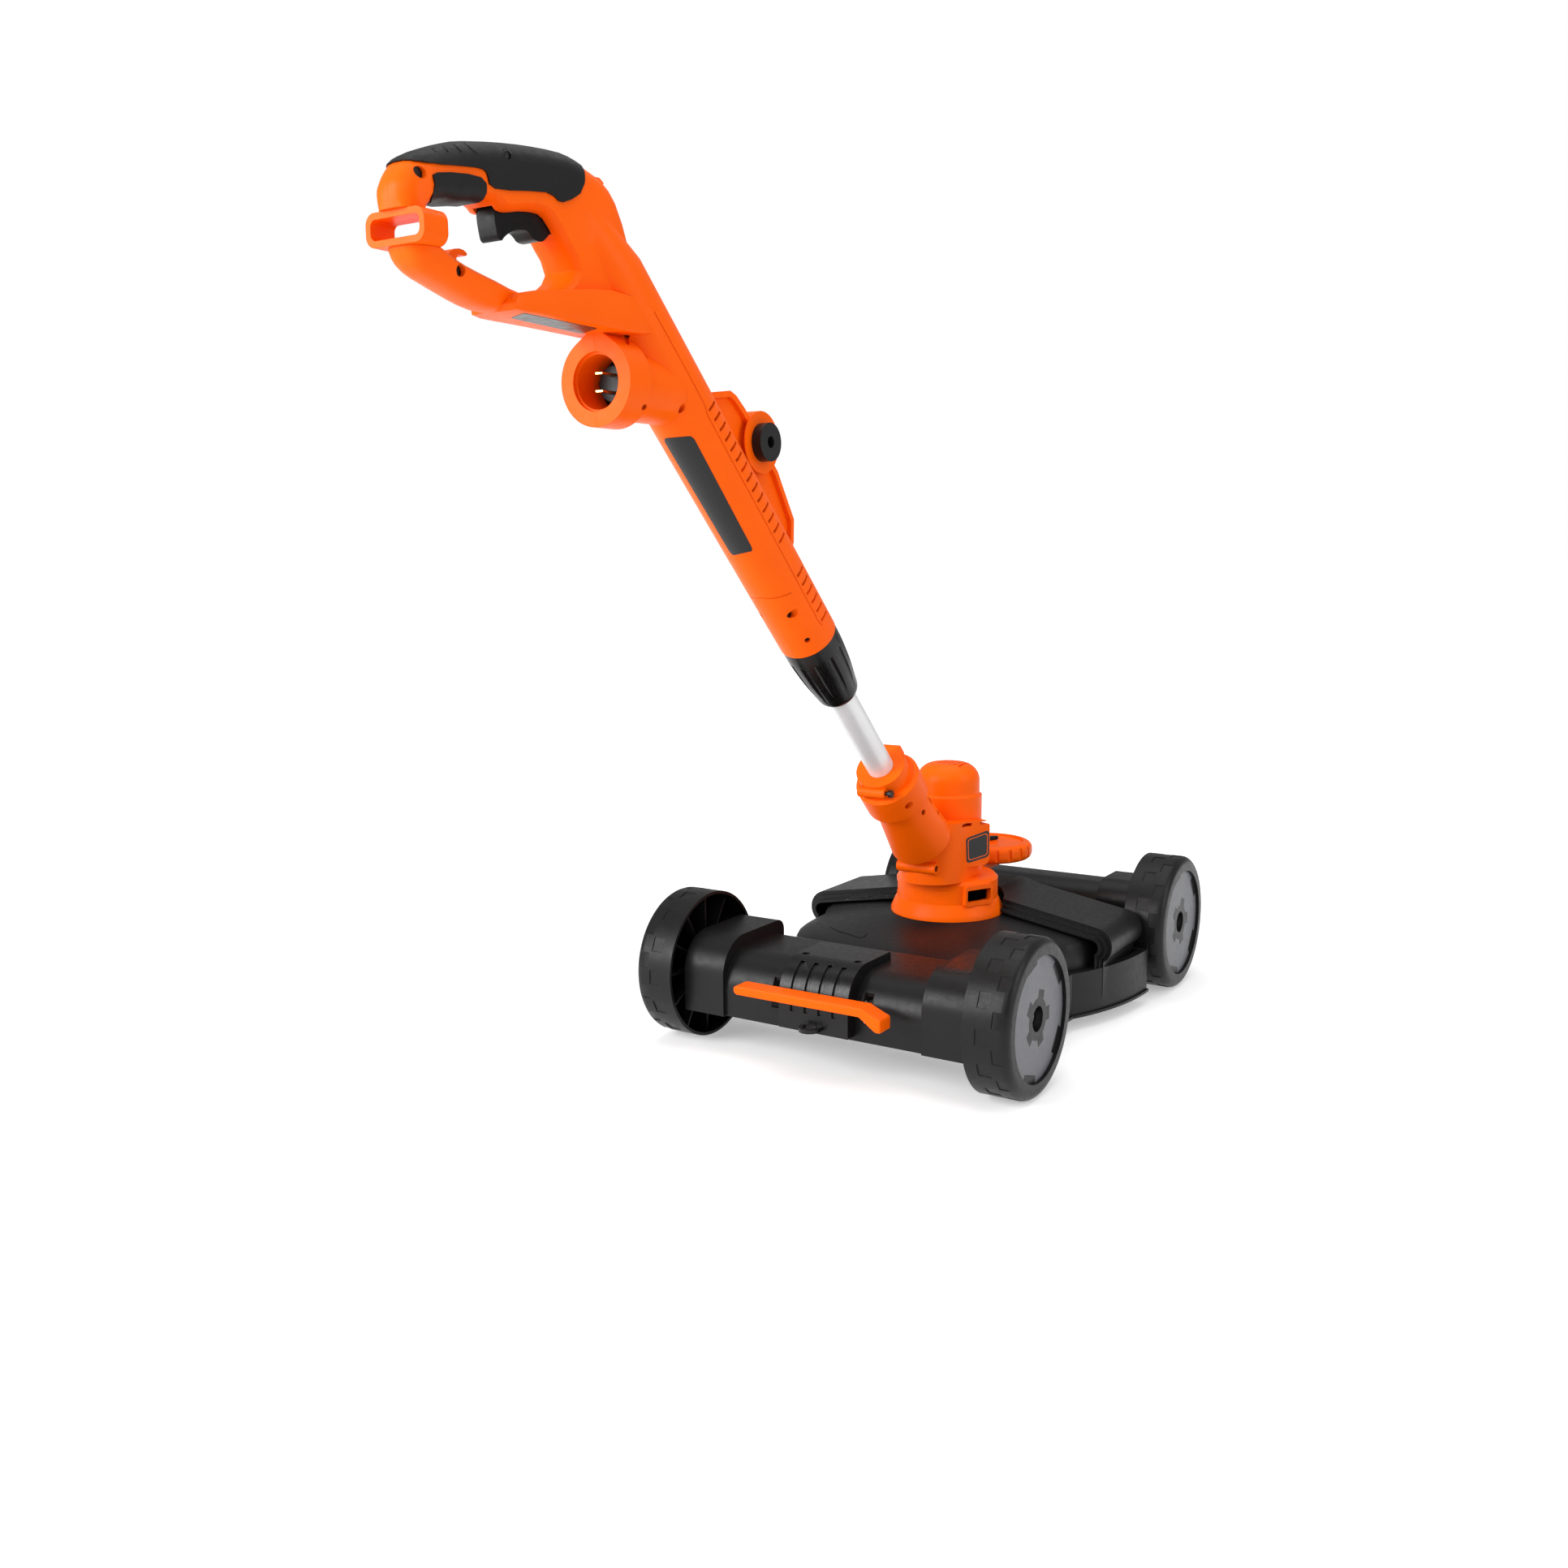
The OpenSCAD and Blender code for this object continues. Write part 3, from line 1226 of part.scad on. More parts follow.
module spool_cap() color(black) placed() on_head() translate([0, 0, spool_case_z - cap_knob_h]) {
  difference() {
    union() {
      cylinder(d1 = cap_knob_d * 0.86, d2 = cap_knob_d, h = cap_knob_h);
      translate([0, 0, cap_knob_h - spool_wall]) cylinder(r = case_r - spool_wall * 2, h = spool_wall);
      translate([0, 0, cap_knob_h - spool_wall])
          cylinder(r = case_r - spool_wall - seat_gap, h = 2 * spool_wall - seat_gap);
    }
    translate([0, 0, cap_knob_h + spool_wall / 2])
        cylinder(d = shaft_d + 2 * seat_gap, h = spool_case_h);
    for (i = [0:5]) {
      rotate(i * 60) translate([cap_knob_d / 2 + spool_wall, 0, -over])
          cylinder(r = spool_wall * 1.6, h = cap_knob_h - spool_wall + over);
    }
  }
}
module cutting_line() color(orange) placed() on_head() translate([0, 0, spool_case_z + eyelet_z])
  rod_x(spool_d * 0.43 + seat_gap, line_reach, line_d);

// Tube with its guide groove
groove_turn = 50;
module tube() color(alloy) placed() on_pole() {
  difference() {
    translate([0, 0, -tube_low]) cylinder(d = tube_d, h = tube_low + tube_up);
    translate([0, 0, -tube_low - over]) cylinder(d = tube_d - 2 * tube_wall,
        h = tube_low + tube_up + 2 * over);
    rotate(groove_turn) translate([tube_r - groove_depth, -groove_w / 2, -tube_low - over])
        cube([groove_depth + over, groove_w, tube_low + tube_up + 2 * over]);
  }
}

// Split sleeve that slides on the tube and carries the handle
sleeve_r = sleeve_d / 2;
sleeve_flange = sleeve_r + tube_wall;
flange_t = barrel_wall * 1.6;
sleeve_top = barrel_low + barrel_wall * 6;
neck_low = barrel_low - neck_len;
cone_low = collet_low + collet_h * 0.06;
cone_low_r = collet_mouth_d / 2 - tube_wall * 0.7;
module collet_sleeve() color(dark) placed() on_pole() {
  difference() {
    union() {
      translate([0, 0, cone_low]) cylinder(r1 = cone_low_r, r2 = sleeve_r - free_gap,
          h = neck_low - cone_low - barrel_wall);
      translate([0, 0, neck_low - barrel_wall]) cylinder(r = sleeve_r - free_gap, h = barrel_wall);
      translate([0, 0, neck_low]) cylinder(r = sleeve_r, h = sleeve_top - neck_low);
      translate([0, 0, sleeve_top - flange_t]) cylinder(r = sleeve_flange, h = flange_t);
    }
    translate([0, 0, cone_low - over]) cylinder(r = tube_r + run_gap,
        h = sleeve_top - cone_low + 2 * over);
    for (i = [0:3]) {
      rotate(i * 90 + groove_turn + 45) translate([0, -tube_wall * 0.35, cone_low - over])
          cube([sleeve_d, tube_wall * 0.7, neck_low - cone_low - barrel_wall + over]);
    }
  }
  rotate(groove_turn) translate([tube_r - groove_depth * 0.7, -groove_w / 2 + free_gap, neck_low])
      cube([groove_depth * 0.7 + run_gap * 4, groove_w - 2 * free_gap, sleeve_top - neck_low]);
}

// Fluted collet nut on the handle's neck
collet_shares = [[0.61, 0], [0.74, 0.06], [0.80, 0.18], [0.91, 0.43], [0.975, 0.68], [1, 0.84], [1, 1]];
flutes = 12;
module collet_nut() color(black) placed() on_pole() translate([0, 0, collet_low]) {
  outer = smooth_line([for (q = collet_shares) [q[0] * collet_d / 2, q[1] * collet_h]], 3);
  neck_r = nut_neck_d / 2 + run_gap;
  difference() {
    rotate_extrude() polygon(concat([[collet_mouth_d / 2 - tube_wall * 0.45, 0]], outer,
        [[neck_r, collet_h], [neck_r, neck_low - collet_low - free_gap],
      [sleeve_r + free_gap, neck_low - collet_low - free_gap]]));
    for (i = [0:flutes - 1]) {
      rotate(i * 360 / flutes) translate([collet_d * 0.45, 0, collet_h * 0.1]) rotate([0, 4.4, 0])
          cylinder(d = flute_d, h = collet_h * 0.72);
    }
  }
}

// Outlines of the handle, as shares of its length and height
loop_shares = [[0.04, 0.235], [0.073, 0.183], [0.13, 0.147], [0.196, 0.111], [0.276, 0.072],
    [0.36, 0.055], [0.478, 0.07],
  [0.696, 0.07], [0.887, 0.06], [1, 0.2], [0.957, 0.547], [0.89, 0.8], [0.825, 0.898], [0.766, 0.934],
      [0.708, 0.958],
  [0.636, 0.972], [0.512, 0.955], [0.397, 0.927], [0.303, 0.895], [0.213, 0.858], [0.133, 0.803],
      [0.055, 0.735],
  [0.02, 0.668], [0, 0.605], [-0.006, 0.55], [0, 0.47], [0.012, 0.38], [0.024, 0.302]];
hole_shares = [[0.1, 0.345], [0.147, 0.297], [0.21, 0.255], [0.325, 0.21], [0.44, 0.168],
    [0.53, 0.195], [0.622, 0.25],
  [0.675, 0.352], [0.632, 0.46], [0.58, 0.567], [0.54, 0.615], [0.46, 0.603], [0.395, 0.575],
      [0.36, 0.578],
  [0.335, 0.607], [0.255, 0.59], [0.194, 0.566], [0.15, 0.565], [0.095, 0.53], [0.065, 0.44]];
wedge_shares = [[0.36, 0.055], [0.47, 0.055], [0.579, 0.055], [0.7, 0.052], [0.818, 0.048],
    [0.95, 0.05], [1.05, 0.1],
  [1.043, 0.2], [0.97, 0.245], [0.8, 0.268], [0.643, 0.233], [0.446, 0.176], [0.37, 0.13]];
pad_shares = [[0.07, 0.7], [0.251, 0.74], [0.29, 0.727], [0.323, 0.662], [0.536, 0.719],
    [0.609, 0.692], [0.707, 0.824],
  [0.64, 1.1], [0.02, 1.1], [0.02, 0.76]];
insert_shares = [[0.1, 0.5], [0.29, 0.5], [0.29, 0.6], [0.265, 0.697], [0.1, 0.66], [0.09, 0.6]];
hook_shares = [[0.2, 0.22], [0.228, 0.31], [0.263, 0.365], [0.298, 0.37], [0.313, 0.352],
    [0.305, 0.34], [0.285, 0.343],
  [0.27, 0.32], [0.27, 0.22]];
function handle_point(q) = [-grip_back + q[0] * grip_len, grip_bottom + q[1] * grip_h];
function handle_points(s) = [for (q = s) handle_point(q)];
loop_outline = smooth_loop(handle_points(loop_shares), 2);
hole_outline = smooth_loop(handle_points(hole_shares), 2);
wedge_outline = smooth_loop(handle_points(wedge_shares), 2);
round_steps = 4;

// Middle of the whole part along the ground
y_shift = (-min([for (p = loop_outline) p[0]]) - front_y - wheel_r) / 2;

// Fin over the barrel, as shares of its length and height
fin_shares = [[0.16, 0], [0.58, 0.034], [0.82, 0.112], [0.95, 0.32], [0.985, 0.37], [0.985, 0.764],
    [0.95, 0.854],
  [0.89, 0.9], [0.58, 0.983], [0.16, 1]];
fin_outline = [for (q = fin_shares) [q[0] * fin_h, fin_low + q[1] * fin_len]];

// Rings in the barrel that guide the tube, as shares of its upper length
guide_shares = [0.49, 0.62, 0.80, 0.98];
guide_t = barrel_wall * 5;

// Right half of the handle moulding before its rooms are cut
module handle_half_form() {
  slab(loop_outline, half_layers(grip_half, grip_round, round_steps));
  slab(wedge_outline, half_layers(wedge_half, wedge_round, 2));
  difference() {
    union() {
      on_pole() {
        translate([0, 0, barrel_low]) cylinder(d = barrel_d,
            h = barrel_up - barrel_r * 1.4 - barrel_low);
        translate([0, 0, barrel_up - barrel_r * 1.4])
            cylinder(d1 = barrel_d, d2 = grip_half * 1.6, h = barrel_d * 1.4);
        translate([0, 0, neck_low]) cylinder(d = nut_neck_d, h = neck_len + over);
        along_x(0, fin_half) polygon(fin_outline);
        translate([0, boss_h, boss_t]) rod_x(0, boss_half, boss_d);
      }
      along_y(-inlet_back, -inlet_back + inlet_deep) inlet_outline();
      translate([0, -inlet_back + inlet_deep - over, inlet_z]) rotate([-90, 0, 0])
        cylinder(d = inlet_neck_d, h = inlet_neck_len);
    }
    translate([-track_w, -2 * grip_back, 0]) cube([track_w, 2 * grip_back, 2 * grip_bottom]);
  }
}
inlet_neck_len = inlet_back - inlet_deep - pole_y - (inlet_z - pole_z) * tan(pole_lean) - barrel_r / 2;

// Teardrop outline of the inlet's collar
module inlet_outline() {
  r = inlet_d / 2;
  a = asin(r / inlet_point);
  translate([0, inlet_z]) circle(r);
  translate([0, inlet_z]) polygon([[-r * cos(a), r * sin(a)], [0, inlet_point],
      [r * cos(a), r * sin(a)], [0, 0]]);
}

// Rooms in the handle: opening, tube, sleeve, inlet, trigger, switch
module handle_rooms() {
  slab(hole_outline, flared_layers(grip_half + pad_t, hole_round, 3));
  translate([0, 0, ring_z]) along_y(-2 * grip_back, -grip_back + ring_in + ring_deep + seat_gap)
    round_rect(ring_w + 2 * seat_gap, ring_tall + 2 * seat_gap, ring_wall * 1.8);
  on_pole() {
    translate([0, 0, neck_low - over]) cylinder(r = sleeve_r + run_gap, h = sleeve_top - neck_low);
    translate([0, 0, sleeve_top - flange_t - seat_gap])
        cylinder(r = sleeve_flange + run_gap, h = flange_t + 2 * seat_gap);
    translate([0, 0, barrel_low]) cylinder(r = tube_r + free_gap, h = tube_up + barrel_r - barrel_low);
    for (k = [0:len(guide_shares) - 2]) {
      translate([0, 0, guide_shares[k] * tube_up + guide_t])
        cylinder(r = barrel_r - barrel_wall,
            h = (guide_shares[k + 1] - guide_shares[k]) * tube_up - guide_t);
    }
    along_x(fin_web, fin_half + over) polygon(inset_loop(fin_outline, fin_rim));
    translate([0, boss_h, boss_t]) rod_x(-over, boss_half + over, puck_d * 0.6 + 2 * seat_gap);
  }
  translate([0, -inlet_back - over, inlet_z]) rotate([-90, 0, 0])
      cylinder(d = inlet_bore_d, h = inlet_hole + over);
  translate([0, -inlet_back - over, inlet_z]) rotate([-90, 0, 0])
      cylinder(d = inlet_bore_d + barrel_wall, h = barrel_wall + over);
  translate([0, -inlet_back, inlet_z]) rotate([-90, 0, 0])
      cylinder(d = holder_d * 0.6, h = inlet_hole + barrel_wall * 2);
  translate([-over, trig_back - free_gap - trig_tall * 0.09, trig_pin_z - trig_tall])
    cube([trig_half + free_gap + over, trig_len * 0.92, trig_tall + trig_room]);
  translate([-over, trig_back, trig_pin_z - trig_tall / 2])
    cube([trig_half + free_gap + over, trig_len + trig_pin_d * 2 + free_gap,
        trig_tall / 2 + trig_room]);
  translate([0, -trig_pin_back, trig_pin_z])
      rod_x(-over, trig_half + barrel_wall, trig_pin_d + 2 * seat_gap);
  translate([-over, trig_back + trig_len * 0.15, trig_pin_z + trig_room - over])
    cube([trig_half * 0.8 + seat_gap + over, switch_len + 2 * seat_gap, switch_h + seat_gap + over]);
  handle_screw_places() rod_x(-track_w, track_w, screw_d + 2 * seat_gap);
  handle_screw_places() rod_x(grip_half * 0.55, track_w, screw_head_d + 2 * seat_gap);
}
trig_back = -trig_pin_back - trig_len;
screw_spot_shares = [[0.05, 0.645], [0.394, 0.85], [0.179, 0.212]];
module handle_screw_places() {
  for (q = screw_spot_shares) {
    translate([0, handle_point(q)[0], handle_point(q)[1]]) children();
  }
  for (k = [0, 2, 3]) {
    on_pole() translate([0, (k == 2 ? 1 : -1) * (tube_r + barrel_r) / 2,
        guide_shares[k] * tube_up + guide_t / 2]) children();
  }
}
module handle_right() color(orange) placed() {
  difference() {
    handle_half_form();
    handle_rooms();
  }
}
module handle_left() color(orange) placed() {
  mirror([1, 0, 0]) difference() {
    handle_half_form();
    handle_rooms();
  }
  along_x(-grip_half * 0.9, -grip_half * 0.4) polygon(smooth_loop(handle_points(hook_shares), 2));
}
module handle_screws() color(dark) placed() handle_screw_places() {
  rod_x(-grip_half * 0.5, grip_half * 0.6, screw_d);
  rod_x(grip_half * 0.55 + seat_gap, grip_half * 0.75, screw_head_d);
}

// Soft grip over the handle and the insert under its rear end
module grip_skin(shares, inside) {
  difference() {
    intersection() {
      slab(inset_loop(loop_outline, -pad_t), full_layers(grip_half + pad_t, grip_round + pad_t,
          round_steps));
      along_x(-wedge_half, wedge_half) polygon(smooth_loop(handle_points(shares), 3));
    }
    difference() {
      slab(loop_outline, full_layers(grip_half + run_gap, grip_round, round_steps));
      hole_cut(0);
    }
    hole_cut(inside);
  }
}
module hole_cut(i) {
  for (s = [0, 1]) {
    mirror([s, 0, 0]) slab(inset_loop(hole_outline, i),
        flared_layers(grip_half + pad_t, hole_round, 3));
  }
}
module grip_pad() color(black) placed() grip_skin(pad_shares, 0);
module grip_insert() color(black) placed() grip_skin(insert_shares, pad_t);

// Cord ring behind the rear post
module cord_ring() color(orange) placed() translate([0, 0, ring_z])
  along_y(-grip_back + ring_in, -grip_back + ring_in + ring_deep) difference() {
    round_rect(ring_w, ring_tall, ring_wall * 1.8);
    round_rect(ring_w - 2 * ring_wall, ring_tall - 2 * ring_wall, ring_wall);
  }

// Bush in the fin's boss, for the second handle's bolt
module aux_bush() color(black) placed() on_pole() translate([0, boss_h, boss_t]) {
  difference() {
    union() {
      rod_x(boss_half, boss_half + puck_proud, puck_d);
      rod_x(-boss_half - puck_proud, boss_half + over, puck_d * 0.6);
      rod_x(-boss_half - puck_proud, -boss_half, puck_d);
    }
    rod_x(-track_w, track_w, puck_bore);
  }
}

// Power inlet: holder and two blades
module inlet_holder() color(black) placed() translate([0, -inlet_back + inlet_hole, inlet_z])
    rotate([90, 0, 0]) {
  difference() {
    union() {
      cylinder(d = holder_d, h = holder_len);
      cylinder(d = inlet_bore_d - 2 * seat_gap, h = barrel_wall);
    }
    for (s = [-1, 1]) {
      translate([-blade_w / 2 - seat_gap, s * blade_pitch / 2 - blade_t / 2 - seat_gap, -over])
        cube([blade_w + 2 * seat_gap, blade_t + 2 * seat_gap, holder_len + 2 * over]);
    }
  }
}
module inlet_blades() color(brass) placed() translate([0, -inlet_back + inlet_hole, inlet_z])
    rotate([90, 0, 0]) {
  for (s = [-1, 1]) {
    translate([-blade_w / 2, s * blade_pitch / 2 - blade_t / 2, 0])
        cube([blade_w, blade_t, holder_len + blade_len]);
  }
}

// Trigger with finger scallops, its pin and spring, and the switch
trig_shares = [[0, 0.36], [0.03, 0.8], [0.055, 0.94], [0.1, 0.97], [0.14, 0.87], [0.24, 0.71],
    [0.35, 0.615], [0.48, 0.577],
  [0.55, 0.65], [0.61, 0.75], [0.73, 0.75], [0.83, 0.565], [0.87, 0.44], [0.95, 0.36], [1.05, 0.2],
      [1.06, -0.1],
  [0.9, -0.1], [0.2, -0.08], [0.04, 0]];
trig_outline = [for (q = smooth_loop(trig_shares, 3)) [trig_back + q[0] * trig_len,
    trig_pin_z - q[1] * trig_tall]];
module trigger() color(black) placed() {
  difference() {
    along_x(-trig_half, trig_half) polygon(trig_outline);
    translate([0, -trig_pin_back, trig_pin_z]) rod_x(-track_w, track_w, trig_pin_d + 2 * run_gap);
  }
}
module trigger_pin() color(steel) placed() translate([0, -trig_pin_back, trig_pin_z])
    rod_x(-trig_half - barrel_wall + seat_gap, trig_half + barrel_wall - seat_gap, trig_pin_d);
module trigger_spring() color(steel) placed()
    translate([0, trig_back + trig_len * 0.75, trig_pin_z + trig_tall * 0.1 + seat_gap]) difference() {
  cylinder(d = trig_half * 0.8, h = trig_room - trig_tall * 0.1 - 2 * seat_gap);
  translate([0, 0, -over]) cylinder(d = trig_half * 0.5, h = trig_room + 2 * over);
}
module switch_body() color(black) placed()
    translate([-trig_half * 0.8, trig_back + trig_len * 0.15 + seat_gap,
    trig_pin_z + trig_room + seat_gap])
  cube([trig_half * 1.6, switch_len, switch_h - seat_gap]);

wheel_rear_left();
wheel_rear_right();
wheel_front_left();
wheel_front_right();
hub_cap_rear_left();
hub_cap_rear_right();
hub_cap_front_left();
hub_cap_front_right();
deck_shell();
rear_axle();
front_axle();
axle_push_nuts();
latch_cover();
latch_cover_screws();
pedal();
pedal_pin();
pedal_spring();
latch_lever();
motor_housing_left();
motor_housing_right();
motor_housing_screws();
motor_can();
upper_bearing();
lower_bearing();
armature();
fan();
guard();
line_cutter();
edge_bracket();
edge_wheel();
edge_clip();
spool_housing();
spool();
spool_spring();
spool_cap();
line_winding();
cutting_line();
line_eyelet();
tube();
collet_sleeve();
collet_nut();
handle_left();
handle_right();
handle_screws();
grip_pad();
grip_insert();
cord_ring();
aux_bush();
inlet_holder();
inlet_blades();
trigger();
trigger_pin();
trigger_spring();
switch_body();
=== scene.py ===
import json
import math

import bmesh
import bpy
from mathutils import Matrix, Vector
from mathutils.bvhtree import BVHTree


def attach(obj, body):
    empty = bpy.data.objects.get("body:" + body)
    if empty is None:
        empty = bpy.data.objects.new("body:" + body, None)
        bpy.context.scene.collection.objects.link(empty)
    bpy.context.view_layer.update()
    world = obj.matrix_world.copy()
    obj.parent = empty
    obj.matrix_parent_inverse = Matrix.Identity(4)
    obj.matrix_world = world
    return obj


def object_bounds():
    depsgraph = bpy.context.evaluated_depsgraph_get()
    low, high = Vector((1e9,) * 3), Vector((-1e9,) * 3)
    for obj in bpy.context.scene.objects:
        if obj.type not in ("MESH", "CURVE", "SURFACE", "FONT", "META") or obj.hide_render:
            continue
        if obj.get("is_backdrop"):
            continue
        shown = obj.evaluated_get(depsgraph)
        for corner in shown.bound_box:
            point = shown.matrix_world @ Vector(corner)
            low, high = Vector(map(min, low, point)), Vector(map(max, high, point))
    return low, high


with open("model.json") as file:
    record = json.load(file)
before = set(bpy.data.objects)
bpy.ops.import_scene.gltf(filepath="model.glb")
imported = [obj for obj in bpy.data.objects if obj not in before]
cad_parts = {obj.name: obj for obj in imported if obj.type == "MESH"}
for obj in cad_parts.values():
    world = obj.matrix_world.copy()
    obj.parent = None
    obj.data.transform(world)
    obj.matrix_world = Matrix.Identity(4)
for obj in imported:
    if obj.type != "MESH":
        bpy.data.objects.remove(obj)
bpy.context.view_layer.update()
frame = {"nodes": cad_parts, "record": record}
nodes = frame["nodes"]
scene = bpy.context.scene
scene.view_settings.view_transform = "Standard"

# Camera, solved from the photograph: image side and focal length in pixels, sensor in millimetres
IMAGE = 1932.0
FOCAL = 1816.03
SENSOR = 36.0
AZIMUTH, ELEVATION, ROLL = (math.radians(a) for a in (32.60, 9.04, -0.50))
EYE = Vector((0.70870, -1.18836, 0.50322))
CLIP_START, CLIP_END = 0.01, 100.0

back = Vector((math.sin(AZIMUTH) * math.cos(ELEVATION),
               -math.cos(AZIMUTH) * math.cos(ELEVATION), math.sin(ELEVATION)))
level = Vector((math.cos(AZIMUTH), math.sin(AZIMUTH), 0.0))
right = level * math.cos(ROLL) + back.cross(level) * math.sin(ROLL)
up = back.cross(right)

camera_data = bpy.data.cameras.new("camera")
camera_data.sensor_width = SENSOR
camera_data.lens = SENSOR * FOCAL / IMAGE
camera_data.clip_start = CLIP_START
camera_data.clip_end = CLIP_END
camera = bpy.data.objects.new("camera", camera_data)
scene.collection.objects.link(camera)
camera.matrix_world = Matrix((
    (right.x, up.x, back.x, EYE.x), (right.y, up.y, back.y, EYE.y),
    (right.z, up.z, back.z, EYE.z), (0.0, 0.0, 0.0, 1.0)))
scene.camera = camera

# Materials: scales of the shade changes and scuffs per metre, and how the edges are painted lighter as a
# highlight
BROAD_SCALE, SCUFF_SCALE = 22.0, 160.0
GLOSS_SPREAD = 0.07
BUMP_STRENGTH = 0.6
BEVEL_SAMPLES = 4
# Painted edge highlight: how much lighter the edge colour is, and over which agreement of the rounded and
# true normals it fades in
HIGHLIGHT_GAIN, HIGHLIGHT_LIFT = 1.15, 0.03
HIGHLIGHT_FROM, HIGHLIGHT_TO = 0.72, 0.97


def new_material(name):
    """Material with an empty tree, its shader and its output."""
    material = bpy.data.materials.new(name)
    material.use_nodes = True
    graph = material.node_tree
    graph.nodes.clear()
    out = graph.nodes.new("ShaderNodeOutputMaterial")
    shader = graph.nodes.new("ShaderNodeBsdfPrincipled")
    graph.links.new(shader.outputs["BSDF"], out.inputs["Surface"])
    return material, graph, shader


def noise(graph, coords, scale, detail=3.0, rough=0.55):
    """Cloudy value between 0 and 1."""
    texture = graph.nodes.new("ShaderNodeTexNoise")
    texture.inputs["Scale"].default_value = scale
    texture.inputs["Detail"].default_value = detail
    texture.inputs["Roughness"].default_value = rough
    graph.links.new(coords, texture.inputs["Vector"])
    return texture.outputs["Fac"]


def spread(graph, value, low, high, from_low=0.3, from_high=0.7):
    """Value fitted from one range to another."""
    fit = graph.nodes.new("ShaderNodeMapRange")
    fit.inputs["From Min"].default_value = from_low
    fit.inputs["From Max"].default_value = from_high
    fit.inputs["To Min"].default_value = low
    fit.inputs["To Max"].default_value = high
    graph.links.new(value, fit.inputs["Value"])
    return fit.outputs["Result"]


def blend_colour(graph, fac, first, second):
    """Mix of two colours; each is a tuple or a socket."""
    mix = graph.nodes.new("ShaderNodeMix")
    mix.data_type = "RGBA"
    graph.links.new(fac, mix.inputs["Factor"])
    for colour, socket in ((first, mix.inputs["A"]), (second, mix.inputs["B"])):
        if isinstance(colour, tuple):
            socket.default_value = (*colour, 1.0)
        else:
            graph.links.new(colour, socket)
    return mix.outputs["Result"]


def moulded(name, colour, rough, grain=0.0005, grain_depth=0.00003, mottle=0.07, edge=0.0006,
            edge_highlight=0.25, metal=0.0, spec=0.5, stretch=None):
    """Moulded or drawn surface: fine grain, uneven gloss, slight shade changes and edges painted lighter, a
    painted highlight.
    """
    material, graph, shader = new_material(name)
    place = graph.nodes.new("ShaderNodeTexCoord").outputs["Object"]
    fine_place = place
    if stretch:
        turn = graph.nodes.new("ShaderNodeMapping")
        turn.inputs["Rotation"].default_value = stretch[0]
        turn.inputs["Scale"].default_value = stretch[1]
        graph.links.new(place, turn.inputs["Vector"])
        fine_place = turn.outputs["Vector"]
    fine = noise(graph, fine_place, 1.0 / grain, detail=2.0)
    broad = noise(graph, place, BROAD_SCALE, detail=4.0)
    scuff = noise(graph, place, SCUFF_SCALE, detail=5.0, rough=0.7)
    dark = tuple(c * (1.0 - mottle) for c in colour)
    light = tuple(min(1.0, c * (1.0 + mottle)) for c in colour)
    shade = blend_colour(graph, spread(graph, broad, 0.0, 1.0), dark, light)
    rounded = graph.nodes.new("ShaderNodeBevel")
    rounded.samples = BEVEL_SAMPLES
    rounded.inputs["Radius"].default_value = edge
    geometry = graph.nodes.new("ShaderNodeNewGeometry")
    agree = graph.nodes.new("ShaderNodeVectorMath")
    agree.operation = "DOT_PRODUCT"
    graph.links.new(rounded.outputs["Normal"], agree.inputs[0])
    graph.links.new(geometry.outputs["Normal"], agree.inputs[1])
    # The edges are painted lighter, a painted highlight, strongest where the rounded normal turns away from
    # the true one
    highlight_mask = spread(graph, agree.outputs["Value"], edge_highlight, 0.0, HIGHLIGHT_FROM, HIGHLIGHT_TO)
    highlit_colour = tuple(min(1.0, c * HIGHLIGHT_GAIN + HIGHLIGHT_LIFT) for c in colour)
    graph.links.new(blend_colour(graph, highlight_mask, shade, highlit_colour), shader.inputs["Base Color"])
    gloss = spread(graph, scuff, rough - GLOSS_SPREAD, rough + GLOSS_SPREAD)
    graph.links.new(gloss, shader.inputs["Roughness"])
    bump = graph.nodes.new("ShaderNodeBump")
    bump.inputs["Strength"].default_value = BUMP_STRENGTH
    bump.inputs["Distance"].default_value = grain_depth
    graph.links.new(fine, bump.inputs["Height"])
    graph.links.new(rounded.outputs["Normal"], bump.inputs["Normal"])
    graph.links.new(bump.outputs["Normal"], shader.inputs["Normal"])
    shader.inputs["Metallic"].default_value = metal
    shader.inputs["Specular IOR Level"].default_value = spec
    return material


# Rotation and scale that draw the grain out along the tube
ALONG_POLE = ((math.radians(45.0), 0.0, 0.0), (1.0, 1.0, 0.02))
